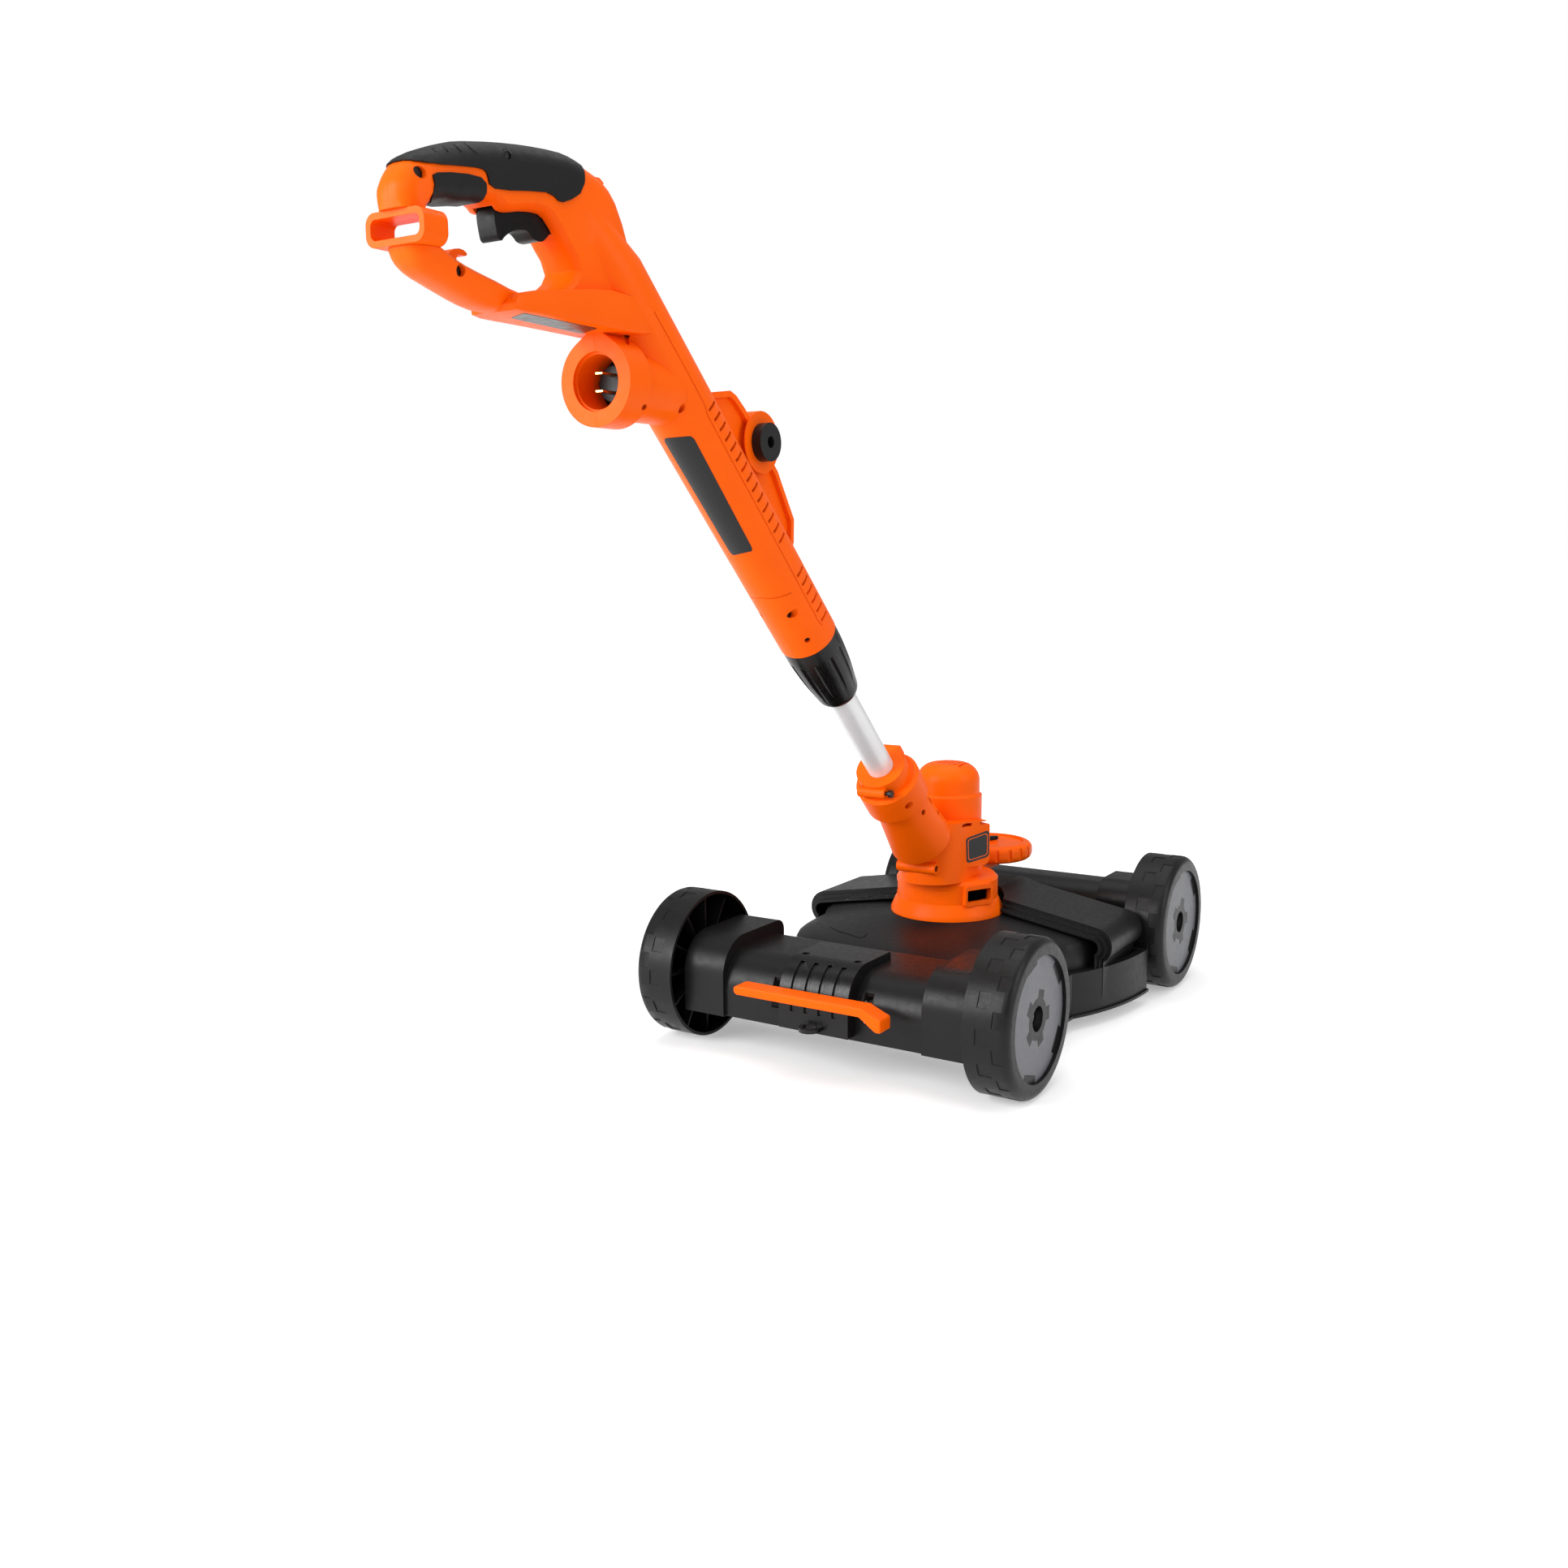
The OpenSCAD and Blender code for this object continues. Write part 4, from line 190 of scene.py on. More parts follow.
# The edge share given to each material sets how far its edges are painted lighter, a painted highlight
MATERIALS = {
    "orange_plastic": moulded("orange_moulding", (0.98, 0.119, 0.0006), rough=0.38, mottle=0.03,
                              spec=0.09, edge_highlight=0.06),
    "black_plastic": moulded("black_moulding", (0.0075, 0.0074, 0.0078), rough=0.38, grain=0.0007,
                             grain_depth=0.00005, spec=0.22, edge_highlight=0.10),
    "dark_plastic": moulded("dark_moulding", (0.0060, 0.0056, 0.0060), rough=0.30, grain=0.0006,
                            grain_depth=0.00001, spec=0.26, edge_highlight=0.10),
    "grey_plastic": moulded("grey_moulding", (0.140, 0.142, 0.155), rough=0.42, mottle=0.05, spec=0.28),
    "soft_grip": moulded("soft_overmould", (0.0062, 0.0062, 0.0064), rough=0.52, grain=0.0009,
                         grain_depth=0.00012, spec=0.17, edge_highlight=0.06),
    "steel": moulded("plain_steel", (0.52, 0.52, 0.53), rough=0.34, metal=1.0, grain=0.0008, edge_highlight=0.3),
    "tube_metal": moulded("satin_tube", (0.74, 0.74, 0.75), rough=0.36, metal=0.25, grain=0.0006,
                          mottle=0.04, stretch=ALONG_POLE),
    "brass": moulded("brass_blade", (0.80, 0.52, 0.18), rough=0.26, metal=1.0, grain=0.0006),
    "rotor": moulded("wound_rotor", (0.42, 0.20, 0.09), rough=0.40, metal=0.8, grain=0.0012,
                     grain_depth=0.0002),
    "line": moulded("nylon_line", (0.85, 0.17, 0.03), rough=0.30, grain=0.0004),
}
SCREW = moulded("black_screw", (0.015, 0.014, 0.014), rough=0.35, metal=0.6)
PLATE = moulded("bare_plate", (0.0105, 0.0102, 0.0105), rough=0.30, grain=0.0004, mottle=0.05,
                edge=0.0002, edge_highlight=0.1, spec=0.28)
PLATE_LINE = moulded("plate_line", (0.90, 0.12, 0.006), rough=0.36, mottle=0.03, edge=0.0002, spec=0.25)
# Nodes that differ from the material of their slot
SPECIAL = {
    "latch_cover_screws": SCREW,
    "handle_screws": SCREW,
    "motor_housing_screws": SCREW,
    "trigger": moulded("trigger_moulding", (0.0050, 0.0050, 0.0052), rough=0.34, grain=0.0006,
                       grain_depth=0.00001, spec=0.12, edge_highlight=0.08),
    "collet_nut": moulded("nut_moulding", (0.0035, 0.0032, 0.0032), rough=0.24, grain=0.0006,
                          spec=0.22, edge_highlight=0.06),
    "aux_bush": moulded("bush_moulding", (0.0085, 0.0086, 0.0090), rough=0.36, grain=0.0006,
                        spec=0.24, edge_highlight=0.10),
}

WELD_DISTANCE = 0.000002
slot_of = {s["node"]: s["material_slot"] for s in frame["record"]["subparts"]}
for name, node in nodes.items():
    mesh = node.data
    mesh.materials.clear()
    mesh.materials.append(SPECIAL.get(name, MATERIALS[slot_of[name]]))
    if "custom_normal" in mesh.attributes:
        mesh.attributes.remove(mesh.attributes["custom_normal"])
    mesh.polygons.foreach_set("use_smooth", [True] * len(mesh.polygons))
    weld = node.modifiers.new("weld", "WELD")
    weld.merge_threshold = WELD_DISTANCE


# Places on the solids, found from points of the image
def tree_of(*names):
    """Search tree over some nodes' meshes."""
    points, faces = [], []
    for name in names:
        mesh = nodes[name].data
        first = len(points)
        points.extend(v.co.copy() for v in mesh.vertices)
        faces.extend([first + i for i in p.vertices] for p in mesh.polygons)
    return BVHTree.FromPolygons(points, faces)


def sight(px, py):
    """Direction from the camera through a point of the image."""
    return (right * (px - IMAGE / 2) / FOCAL - up * (py - IMAGE / 2) / FOCAL - back).normalized()


def seen(tree, px, py):
    """Place and outward normal where the image point meets the solids."""
    spot, normal, _, _ = tree.ray_cast(EYE, sight(px, py))
    if spot is None:
        return None
    return spot, normal


def between(first, last, share):
    """Point at a share of the way between two others."""
    return tuple(a + (b - a) * share for a, b in zip(first, last))


handle_tree = tree_of("handle_left", "handle_right")
motor_tree = tree_of("motor_housing_left", "motor_housing_right")
deck_tree = tree_of("deck_shell")
guard_tree = tree_of("guard")
grip_tree = tree_of("grip_pad")

# Pieces and cutters
JOIN_DISTANCE = 0.000001


def closed_mesh(name, points, faces, join=False):
    """Mesh with its faces turned outward and, if asked, its doubled points joined."""
    mesh = bpy.data.meshes.new(name)
    mesh.from_pydata(points, [], faces)
    work = bmesh.new()
    work.from_mesh(mesh)
    if join:
        bmesh.ops.remove_doubles(work, verts=work.verts[:], dist=JOIN_DISTANCE)
    bmesh.ops.recalc_face_normals(work, faces=work.faces[:])
    work.to_mesh(mesh)
    work.free()
    return mesh


def add_piece(name, points, faces, material, body, join=False):
    """Closed piece that rides on a body and takes a material slot."""
    mesh = closed_mesh(name, points, faces, join)
    mesh.materials.append(material)
    piece = bpy.data.objects.new(name, mesh)
    scene.collection.objects.link(piece)
    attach(piece, body)


def cut_node(name, node, points, faces, body, crossing=False):
    """Cuts a hidden closed form off a node; crossing says that its parts cross each other."""
    cutter = bpy.data.objects.new(name, closed_mesh(name, points, faces))
    scene.collection.objects.link(cutter)
    cutter.hide_render = True
    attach(cutter, body)
    cut = nodes[node].modifiers.new(name, "BOOLEAN")
    cut.operation = "DIFFERENCE"
    cut.solver = "EXACT"
    cut.use_self = crossing
    cut.object = cutter


def circle(centre, first, second, radius, count):
    """Points of a circle in the plane of two unit directions."""
    turns = [2 * math.pi * k / count for k in range(count)]
    return [centre + (first * math.cos(a) + second * math.sin(a)) * radius for a in turns]


def tube_faces(count, rows, ends=True):
    """Faces through rows of count points each, with the two ends closed."""
    faces = []
    for a in range(0, count * (rows - 1), count):
        for k in range(count):
            j = (k + 1) % count
            faces.append((a + k, a + j, a + count + j, a + count + k))
    if ends:
        faces += [tuple(range(count)), tuple(range(count * (rows - 1), count * rows))]
    return faces


# Vent slots and moulding lines of the handle: first and last slot, each by its two ends, and the count
SLOT_WIDTH, SLOT_DEPTH = 0.0025, 0.0042
UPPER_SLOTS = (((873.7, 505.8), (880.4, 494.6)), ((960.1, 668.6), (966.2, 656.5)), 14)
LOWER_SLOTS = (((982.5, 710.4), (988.4, 697.8)), ((1012.0, 764.7), (1017.8, 752.7)), 6)
GROOVE_WIDTH, GROOVE_DEPTH = 0.0008, 0.0006
SEAM_GROOVE = ((806, 384), (826, 420), (848, 460), (868, 498), (872, 512), (893, 551), (914, 590),
               (936, 630), (958, 671), (980, 712), (1003, 755), (1008, 765), (1013, 770))
BAND_GROOVE = ((928, 733), (936, 736), (945, 737.3), (955, 737), (966, 734), (975, 730.5))
# How far a block stands out of the surface, in depths
BLOCK_OUT = 2
BLOCK_CORNERS = 8
BLOCK_FACES = ((0, 1, 3, 2), (4, 6, 7, 5), (0, 4, 5, 1), (2, 3, 7, 6), (0, 2, 6, 4), (1, 5, 7, 3))


def block_points(start, end, width, depth):
    """Corners of a block sunk in the surface between two places."""
    (a, a_normal), (b, b_normal) = start, end
    along = (b - a).normalized()
    out = (a_normal + b_normal).normalized()
    out = (out - along * out.dot(along)).normalized()
    side = along.cross(out)
    return [spot + side * s * width / 2 + out * h
            for spot in (a, b) for s in (-1, 1) for h in (-depth, depth * BLOCK_OUT)]


def vent_blocks():
    """Corners of the blocks that cut the slots and grooves on the right side."""
    blocks = []
    for first, last, count in (UPPER_SLOTS, LOWER_SLOTS):
        for i in range(count):
            share = i / (count - 1)
            ends = [seen(handle_tree, *between(a, b, share)) for a, b in zip(first, last)]
            if all(ends):
                blocks.append(block_points(*ends, SLOT_WIDTH, SLOT_DEPTH))
    for line in (SEAM_GROOVE, BAND_GROOVE):
        spots = [seen(handle_tree, *q) for q in line]
        for ends in zip(spots, spots[1:]):
            if all(ends):
                blocks.append(block_points(*ends, GROOVE_WIDTH, GROOVE_DEPTH))
    return blocks


vents = vent_blocks()
vent_faces = [[BLOCK_CORNERS * k + q for q in quad] for k in range(len(vents)) for quad in BLOCK_FACES]
for side, sign in (("right", 1), ("left", -1)):
    cut_node("vent_cutter_" + side, "handle_" + side, [(sign * p.x, p.y, p.z) for b in vents for p in b],
             vent_faces, "handle_body", crossing=True)

# On the far side the flange under the lower bar widens gradually from the bar
FLARE_PLAN = ((-0.0142, -0.4420), (-0.0212, -0.4180), (-0.0256, -0.3880), (-0.0330, -0.3880),
              (-0.0330, -0.4420))
FLARE_LOW, FLARE_HIGH = 0.652, 0.700
cut_node("flare_cutter", "handle_left", [(x, y, z) for z in (FLARE_LOW, FLARE_HIGH) for x, y in FLARE_PLAN],
         tube_faces(len(FLARE_PLAN), 2), "handle_body")

# Screw lugs on the front seam of the handle: places along the tube from its foot, and the tube's frame
POLE_FOOT = Vector((0.0, 0.09244, 0.2941))
POLE_UP = Vector((0.0, -math.sqrt(0.5), math.sqrt(0.5)))
POLE_OUT = Vector((0.0, math.sqrt(0.5), math.sqrt(0.5)))
ACROSS, FORWARD, UPWARD = Matrix.Identity(3)
LUGS = {"handle_lug_upper": (0.606, 0.635), "handle_lug_lower": (0.450, 0.479)}
LUG_HALF, LUG_TALL, LUG_SUNK = 0.0055, 0.0062, 0.0035
LUG_SCOOP, LUG_SCOOP_DEPTH, LUG_SCOOP_STEPS = 0.0040, 0.0028, 6
# Shares of the length and of the height at the lower end
LUG_END_SHARES = ((0.0, 0.0), (0.08, 0.55), (0.2, 1.0))
# Shares of the half width, of the height and of the length, from one side to the other
LUG_ROW_SHARES = ((-1.0, 0.88, 0.97), (-0.8, 1.0, 1.0), (0.8, 1.0, 1.0), (1.0, 0.88, 0.97))
# Where the ground under a lug is felt for: height above the tube's axis and place beside the seam
PROBE_HEIGHT, PROBE_ASIDE = 0.09, 0.0006


def lug(name, low, high):
    """Scooped screw lug between two places along the tube."""
    length, mid = high - low, (low + high) / 2
    outline = [(low + length * s, LUG_TALL * rise) for s, rise in LUG_END_SHARES]
    for k in range(LUG_SCOOP_STEPS + 1):
        a = math.pi * (1 - k / LUG_SCOOP_STEPS)
        outline.append((mid + LUG_SCOOP * math.cos(a), LUG_TALL - LUG_SCOOP_DEPTH * math.sin(a)))
    outline += [(high - length * s, LUG_TALL * rise) for s, rise in reversed(LUG_END_SHARES)]
    edge = []
    for place, rise in outline:
        probe = POLE_FOOT + POLE_UP * place + POLE_OUT * PROBE_HEIGHT + ACROSS * PROBE_ASIDE
        spot, _, _, _ = handle_tree.ray_cast(probe, -POLE_OUT)
        edge.append((place, rise, (spot - POLE_FOOT).dot(POLE_OUT)))
    points = []
    for x_share, rise_share, length_share in LUG_ROW_SHARES:
        foot = POLE_FOOT + ACROSS * LUG_HALF * x_share
        for place, rise, base in edge:
            drawn_in = mid + (place - mid) * length_share
            points.append(foot + POLE_UP * drawn_in + POLE_OUT * (base + rise * rise_share))
        for place, _, base in reversed(edge):
            points.append(foot + POLE_UP * place + POLE_OUT * (base - LUG_SUNK))
    count = len(edge)
    ring = 2 * count
    rows = len(LUG_ROW_SHARES)
    faces = tube_faces(ring, rows, ends=False)
    for a in (0, (rows - 1) * ring):
        faces += [(a + k, a + k + 1, a + ring - 2 - k, a + ring - 1 - k) for k in range(count - 1)]
    add_piece(name, points, faces, MATERIALS["orange_plastic"], "handle_body")


for name, (low, high) in LUGS.items():
    lug(name, low, high)

# Screw recesses: each screw's image point and radius
HANDLE_SCREWS = {"collar_screw_upper": ((772, 415), 0.0022), "collar_screw_lower": ((794, 502), 0.0026),
                 "barrel_screw_low": ((995, 789), 0.0028)}
NECK_SCREWS = {"neck_screw_left": ((1138, 1001), 0.0030), "neck_screw_right": ((1156, 1001), 0.0030)}
GRIP_SCREW, GRIP_SCREW_RADIUS = (625, 190), 0.0034
RECESS_DEPTH, GRIP_RECESS_DEPTH = 0.0045, 0.0014
RECESS_SIDES = 20
# How far a recess's cutter stands out of the surface, in depths
RECESS_OUT = 4
# Rings of the head as shares of the radius and depth, and the slots in it
HEAD_SHARES = ((0.9, -1.02), (0.9, -0.72), (0.72, -0.62), (0.45, -0.62))
HEAD_SLOT_SHARE, HEAD_FLOOR_SHARE, HEAD_FLOOR_DEPTH_SHARE = 0.40, 0.16, -0.85
HEAD_SLOTS = 4


def recess(name, tree, spot, node, body, radius, depth=RECESS_DEPTH):
    """Screw recess cut in a node where an image point meets it, with a slotted head at its floor."""
    place, axis = seen(tree, *spot)
    side = axis.orthogonal().normalized()
    other = axis.cross(side)
    points = []
    for height in (-depth, RECESS_OUT * depth):
        points += circle(place + axis * height, side, other, radius, RECESS_SIDES)
    cut_node(name + "_cutter", node, points, tube_faces(RECESS_SIDES, 2), body)
    head = []
    for share, height in HEAD_SHARES:
        head += circle(place + axis * depth * height, side, other, radius * share, RECESS_SIDES)
    floor_centre = place + axis * depth * HEAD_FLOOR_DEPTH_SHARE
    for k, q in enumerate(circle(Vector(), side, other, radius, RECESS_SIDES)):
        in_slot = k % (RECESS_SIDES // HEAD_SLOTS) in (0, 1)
        head.append(floor_centre + q * (HEAD_SLOT_SHARE if in_slot else HEAD_FLOOR_SHARE))
    add_piece(name, head, tube_faces(RECESS_SIDES, len(HEAD_SHARES) + 1), SCREW, body)


for name, (spot, radius) in HANDLE_SCREWS.items():
    recess(name, handle_tree, spot, "handle_right", "handle_body", radius)
for name, (spot, radius) in NECK_SCREWS.items():
    recess(name, motor_tree, spot, "motor_housing_right", "deck", radius)
recess("grip_screw", grip_tree, GRIP_SCREW, "grip_pad", "handle_body", GRIP_SCREW_RADIUS, GRIP_RECESS_DEPTH)

# The pedal's moulded corners are rounded over, and its bore is opened again round the pin
PEDAL_GRID = 0.0012
PEDAL_SMOOTHING = 10
PIN_GAP = 0.0004
PIN_SIDES = 24


def round_pedal():
    """Rounds the pedal over and cuts its bore, wider than the pin by the gap."""
    even = nodes["pedal"].modifiers.new("even", "REMESH")
    even.mode = "VOXEL"
    even.voxel_size = PEDAL_GRID
    even.use_smooth_shade = True
    soften = nodes["pedal"].modifiers.new("soften", "SMOOTH")
    soften.iterations = PEDAL_SMOOTHING
    pin = [v.co for v in nodes["pedal_pin"].data.vertices]
    low, high = (Vector([pick(c[i] for c in pin) for i in range(3)]) for pick in (min, max))
    mid = (low + high) / 2
    radius = (high.z - low.z) / 2 + PIN_GAP
    points = []
    for x in (low.x - PIN_GAP, high.x + PIN_GAP):
        points += circle(Vector((x, mid.y, mid.z)), FORWARD, UPWARD, radius, PIN_SIDES)
    cut_node("pin_cutter", "pedal", points, tube_faces(PIN_SIDES, 2), "pedal_body")


round_pedal()

SMOOTH_ANGLE = math.radians(32.0)
for node in nodes.values():
    split = node.modifiers.new("edges", "EDGE_SPLIT")
    split.split_angle = SMOOTH_ANGLE
    split.use_edge_sharp = False


# Bare plates and pads
def overlay(name, tree, rings, material, body, proud, sunk, hollow=False):
    """Thin closed sheet on the surface under rings of image points, the outermost first.

    A hollow one is only the rim, else the last ring is a single point.
    """
    found = [seen(tree, *q) for ring in rings for q in ring]
    count, under = len(rings[0]), len(found)
    points = [spot + normal * proud for spot, normal in found]
    points += [spot - normal * sunk for spot, normal in found]
    top = tube_faces(count, len(rings), ends=False)
    faces = top + [tuple(under + i for i in reversed(face)) for face in top]
    for edge in (0, under - count) if hollow else (0,):
        for i in range(count):
            a, b = edge + i, edge + (i + 1) % count
            faces.append((under + a, under + b, b, a))
    add_piece(name, points, faces, material, body, join=True)


CORNER_STEPS = 6
SIDE_STEPS = 8
PLATE_PROUD, PLATE_SUNK, PLATE_RINGS = 0.00025, 0.0004, 10


def rounded_outline(corner):
    """Outline of the unit square with rounded corners, counter-clockwise from the lower right."""
    wide, tall = corner
    centres = ((1 - wide, tall), (1 - wide, 1 - tall), (wide, 1 - tall), (wide, tall))
    outline = []
    for k, (x, y) in enumerate(centres):
        for i in range(CORNER_STEPS + 1):
            a = math.radians(-90 + 90 * k + 90 * i / CORNER_STEPS)
            outline.append((x + wide * math.cos(a), y + tall * math.sin(a)))
        a = math.radians(90 * k)
        ahead = centres[(k + 1) % 4]
        last = outline[-1]
        end = (ahead[0] + wide * math.cos(a), ahead[1] + tall * math.sin(a))
        outline += [between(last, end, i / SIDE_STEPS) for i in range(1, SIDE_STEPS)]
    return outline


def on_quad(quad, u, v):
    """Point of a four-sided image region: corners lower left, lower right, upper right, upper left."""
    a, b, c, d = quad
    return between(between(a, b, u), between(d, c, u), v)


def plate(name, tree, quad, corner, material, body, proud=PLATE_PROUD, sunk=PLATE_SUNK,
          count=PLATE_RINGS, inner=0.0):
    """Plate over a four-sided image region. With inner, it is only the rim."""
    shares = [inner + (1.0 - inner) * k / count for k in range(count, -1, -1)]
    rings = [[on_quad(quad, 0.5 + (u - 0.5) * s, 0.5 + (v - 0.5) * s) for u, v in rounded_outline(corner)]
             for s in shares]
    overlay(name, tree, rings, material, body, proud, sunk, hollow=inner > 0)


BARREL_PLATE = ((901.7, 684.5), (928.5, 678.5), (853.5, 537.0), (816.5, 540.0))
BAR_PLATE = ((629.0, 391.5), (716.0, 411.0), (737.0, 404.5), (646.0, 385.5))
BADGE = ((1191.0, 1064.0), (1218.5, 1055.0), (1218.5, 1022.5), (1190.0, 1033.0))
BADGE_MID = (1204.5, 1043.5)
BADGE_LINE_SHARES = (0.86, 0.84)
# Rounding of the corners, as shares of the width and height
BARREL_CORNER, BAR_CORNER, BADGE_CORNER = (0.12, 0.04), (0.03, 0.12), (0.14, 0.12)
badge_line = [tuple(m + (q - m) * s for q, m, s in zip(corner, BADGE_MID, BADGE_LINE_SHARES))
              for corner in BADGE]
plate("barrel_plate", handle_tree, BARREL_PLATE, BARREL_CORNER, PLATE, "handle_body")
plate("bar_plate", handle_tree, BAR_PLATE, BAR_CORNER, PLATE, "handle_body")
plate("badge_plate", motor_tree, BADGE, BADGE_CORNER, PLATE, "deck")
plate("badge_line", motor_tree, badge_line, BADGE_CORNER, PLATE_LINE, "deck",
      proud=0.0005, sunk=0.0002, count=2, inner=0.93)

PAD_SUNK, PAD_RINGS, PAD_STEPS = 0.0006, 6, 5


def smooth_loop(outline):
    """Closed smooth curve, a Catmull-Rom spline, through the points of an outline."""
    count = len(outline)
    loop = []
    for i in range(count):
        q = [outline[(i + k) % count] for k in (-1, 0, 1, 2)]
        for k in range(PAD_STEPS):
            u = k / PAD_STEPS
            loop.append(tuple(0.5 * (2 * b + (c - a) * u + (2 * a - 5 * b + 4 * c - d) * u ** 2
                                     + (3 * b - a - 3 * c + d) * u ** 3) for a, b, c, d in zip(*q)))
    return loop


def pad(name, tree, outline, material, proud):
    """Pad of the deck over a smooth image outline."""
    loop = smooth_loop(outline)
    mid = tuple(sum(c) / len(loop) for c in zip(*loop))
    rings = [[between(mid, q, k / PAD_RINGS) for q in loop] for k in range(PAD_RINGS, -1, -1)]
    overlay(name, tree, rings, material, "deck", proud, PAD_SUNK)


DOME_PLATE = ((1033.5, 1115.5), (1044.6, 1106.6), (1065.4, 1101.5), (1092, 1102), (1095, 1106.5),
              (1076.5, 1114.1), (1048.8, 1118.0))
BLOCK_PLATE = ((1163.0, 1195.5), (1176.4, 1181.5), (1190.0, 1177.0), (1203.0, 1176.0), (1197.2, 1198.0),
               (1188.0, 1200.0))
GUARD_PAD = ((1022.5, 1141.0), (1031.0, 1140.3), (1041.9, 1140.3), (1056.0, 1144.0), (1068.2, 1148.6),
             (1065.4, 1153.8), (1058.5, 1155.2), (1044.0, 1150.6), (1030.8, 1146.5))
pad("dome_plate", deck_tree, DOME_PLATE, PLATE, proud=0.0002)
pad("block_plate", deck_tree, BLOCK_PLATE, PLATE, proud=0.0002)
pad("guard_pad", guard_tree, GUARD_PAD, MATERIALS["black_plastic"], proud=0.0005)

# Thin ridges across the rear of the grip, each by its upper and lower image point
RIDGES = (((533.0, 183.0), (537.0, 187.0)), ((545.7, 179.8), (552.4, 186.8)),
          ((559.3, 177.8), (569.3, 187.3)), ((571.8, 176.2), (588.0, 189.3)))
RIDGE_RADIUS, RIDGE_SIDES, RIDGE_STEPS = 0.0004, 8, 8
# The right half stops this far from the middle, and the left half mirrors it
RIDGE_MIDDLE = 0.0005
# Roughly upward on top of the grip
RIDGE_UP = Vector((0.0, 0.3, 1.0))


def ridge(name, upper, lower):
    """Round bead over the grip from side to side."""
    found = [seen(grip_tree, *between(lower, upper, k / RIDGE_STEPS)) for k in range(RIDGE_STEPS + 1)]
    half = [f[0] for f in found if f and f[0].x > RIDGE_MIDDLE]
    spots = half + [Vector((-p.x, p.y, p.z)) for p in reversed(half)]
    last = len(spots) - 1
    points = []
    for i, p in enumerate(spots):
        along = (spots[min(i + 1, last)] - spots[max(i - 1, 0)]).normalized()
        across = along.cross(RIDGE_UP).normalized()
        points += circle(p, across, across.cross(along), RIDGE_RADIUS, RIDGE_SIDES)
    add_piece(name, points, tube_faces(RIDGE_SIDES, len(spots)), MATERIALS["soft_grip"], "handle_body")


for i, (upper, lower) in enumerate(RIDGES):
    ridge("grip_ridge_%d" % (i + 1), upper, lower)

# Floor: half its side, and its glow near the object and far from it
FLOOR = 40.0
FLOOR_DROP = 0.0002
FLOOR_GLOW_NEAR, FLOOR_GLOW_FAR = 0.36, 0.80
FLOOR_NEAR, FLOOR_FAR = 0.55, 1.6
FLOOR_TONES = ((0.86, 0.86, 0.86), (0.88, 0.88, 0.88))
FLOOR_SCALE = 3.0
FLOOR_ROUGH, FLOOR_SPEC = 0.75, 0.2
WHITE = (1.0, 1.0, 1.0, 1.0)


def floor_material():
    """Pale paper that glows to the camera and in reflections, more so far from the object."""
    material, graph, shader = new_material("floor_paper")
    place = graph.nodes.new("ShaderNodeTexCoord").outputs["Object"]
    tone = blend_colour(graph, noise(graph, place, FLOOR_SCALE), *FLOOR_TONES)
    graph.links.new(tone, shader.inputs["Base Color"])
    shader.inputs["Roughness"].default_value = FLOOR_ROUGH
    shader.inputs["Specular IOR Level"].default_value = FLOOR_SPEC
    path = graph.nodes.new("ShaderNodeLightPath")
    most = graph.nodes.new("ShaderNodeMath")
    most.operation = "MAXIMUM"
    graph.links.new(path.outputs["Is Camera Ray"], most.inputs[0])
    graph.links.new(path.outputs["Is Glossy Ray"], most.inputs[1])
    length = graph.nodes.new("ShaderNodeVectorMath")
    length.operation = "LENGTH"
    graph.links.new(place, length.inputs[0])
    glow_level = spread(graph, length.outputs["Value"], FLOOR_GLOW_NEAR, FLOOR_GLOW_FAR,
                        FLOOR_NEAR, FLOOR_FAR)
    glow = graph.nodes.new("ShaderNodeMath")
    glow.operation = "MULTIPLY"
    graph.links.new(glow_level, glow.inputs[1])
    graph.links.new(most.outputs[0], glow.inputs[0])
    shader.inputs["Emission Color"].default_value = WHITE
    graph.links.new(glow.outputs[0], shader.inputs["Emission Strength"])
    return material


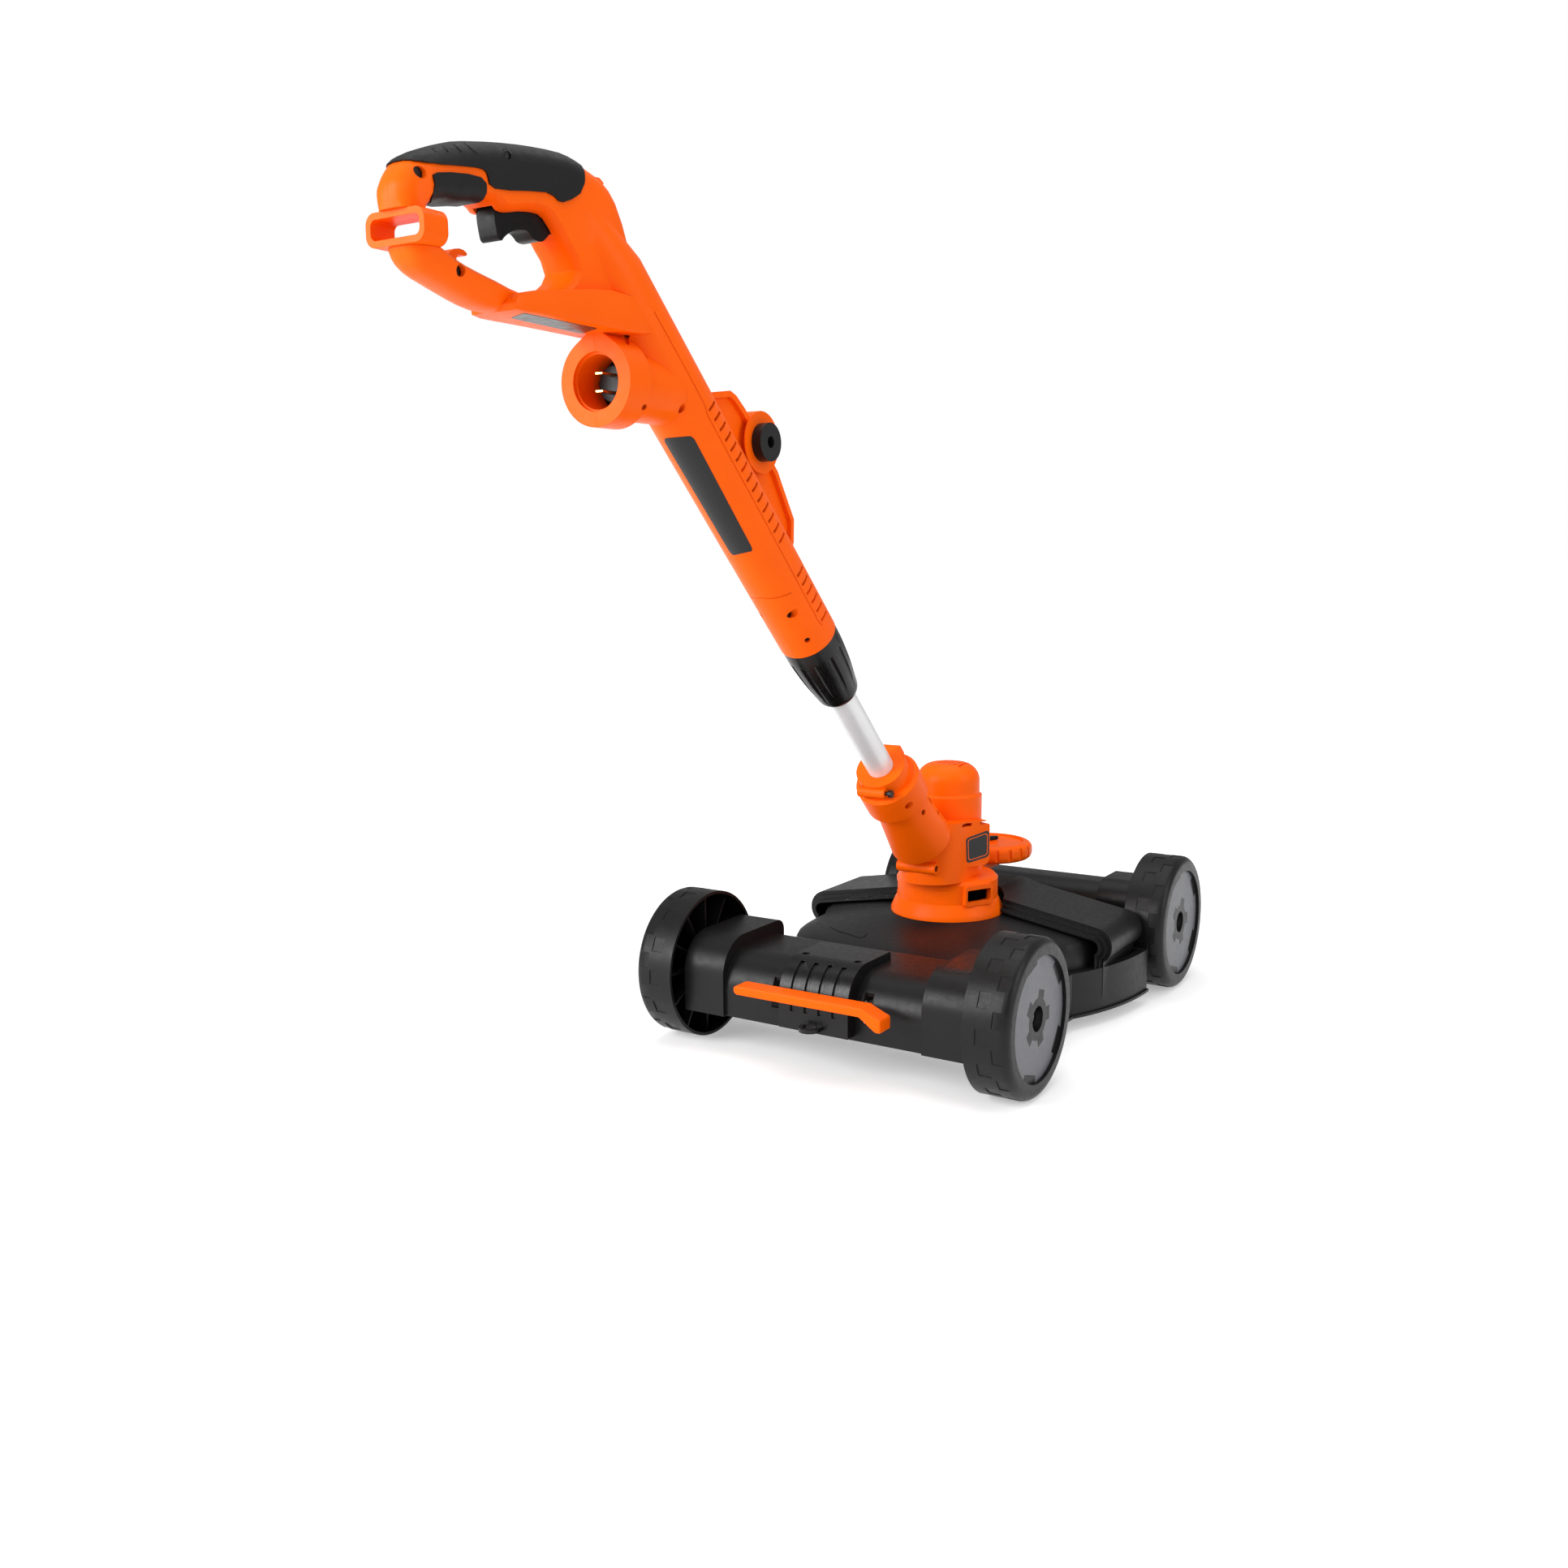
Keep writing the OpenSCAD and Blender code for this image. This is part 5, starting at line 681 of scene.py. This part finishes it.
floor_mesh = bpy.data.meshes.new("floor")
floor_mesh.from_pydata([(-FLOOR, -FLOOR, 0), (FLOOR, -FLOOR, 0), (FLOOR, FLOOR, 0), (-FLOOR, FLOOR, 0)],
                       [], [(0, 1, 2, 3)])
floor_mesh.materials.append(floor_material())
floor = bpy.data.objects.new("floor", floor_mesh)
floor.location.z = -FLOOR_DROP
scene.collection.objects.link(floor)
floor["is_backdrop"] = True

# Studio: brightness of the surroundings to the part and to the camera
WORLD_TO_PART, WORLD_TO_CAMERA = 0.36, 1.0


def studio_world():
    """White surroundings, dimmer on the part than to the camera."""
    world = bpy.data.worlds.new("studio")
    world.use_nodes = True
    graph = world.node_tree
    graph.nodes.clear()
    out = graph.nodes.new("ShaderNodeOutputWorld")
    shade = graph.nodes.new("ShaderNodeBackground")
    path = graph.nodes.new("ShaderNodeLightPath")
    strength = graph.nodes.new("ShaderNodeMapRange")
    strength.inputs["To Min"].default_value = WORLD_TO_PART
    strength.inputs["To Max"].default_value = WORLD_TO_CAMERA
    graph.links.new(path.outputs["Is Camera Ray"], strength.inputs["Value"])
    graph.links.new(strength.outputs["Result"], shade.inputs["Strength"])
    graph.links.new(shade.outputs["Background"], out.inputs["Surface"])
    shade.inputs["Color"].default_value = WHITE
    return world


scene.world = studio_world()


def lamp(name, place, aim, size, power):
    """Rectangular lamp aimed at a point, its power in watts."""
    data = bpy.data.lights.new(name, "AREA")
    data.shape = "RECTANGLE"
    data.size, data.size_y = size
    data.energy = power
    lamp_object = bpy.data.objects.new(name, data)
    lamp_object.location = place
    lamp_object.rotation_mode = "QUATERNION"
    lamp_object.rotation_quaternion = (Vector(aim) - Vector(place)).to_track_quat("-Z", "Y")
    scene.collection.objects.link(lamp_object)


lamp("lamp_top", place=(0.1, 0.2, 2.4), aim=(0.0, 0.0, 0.2), size=(2.4, 2.4), power=30.0)
lamp("lamp_left", place=(-1.1, -2.1, 1.35), aim=(0.0, -0.25, 0.5), size=(1.1, 1.3), power=46.0)
lamp("lamp_right", place=(2.2, 0.3, 1.2), aim=(0.0, 0.0, 0.3), size=(1.2, 1.6), power=17.0)
lamp("lamp_front", place=(0.5, -1.9, 1.6), aim=(0.0, -0.2, 0.55), size=(1.2, 1.2), power=9.0)
lamp("lamp_low", place=(-1.2, -1.5, 0.62), aim=(0.0, -0.35, 0.62), size=(0.6, 0.6), power=8.0)

low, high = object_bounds()
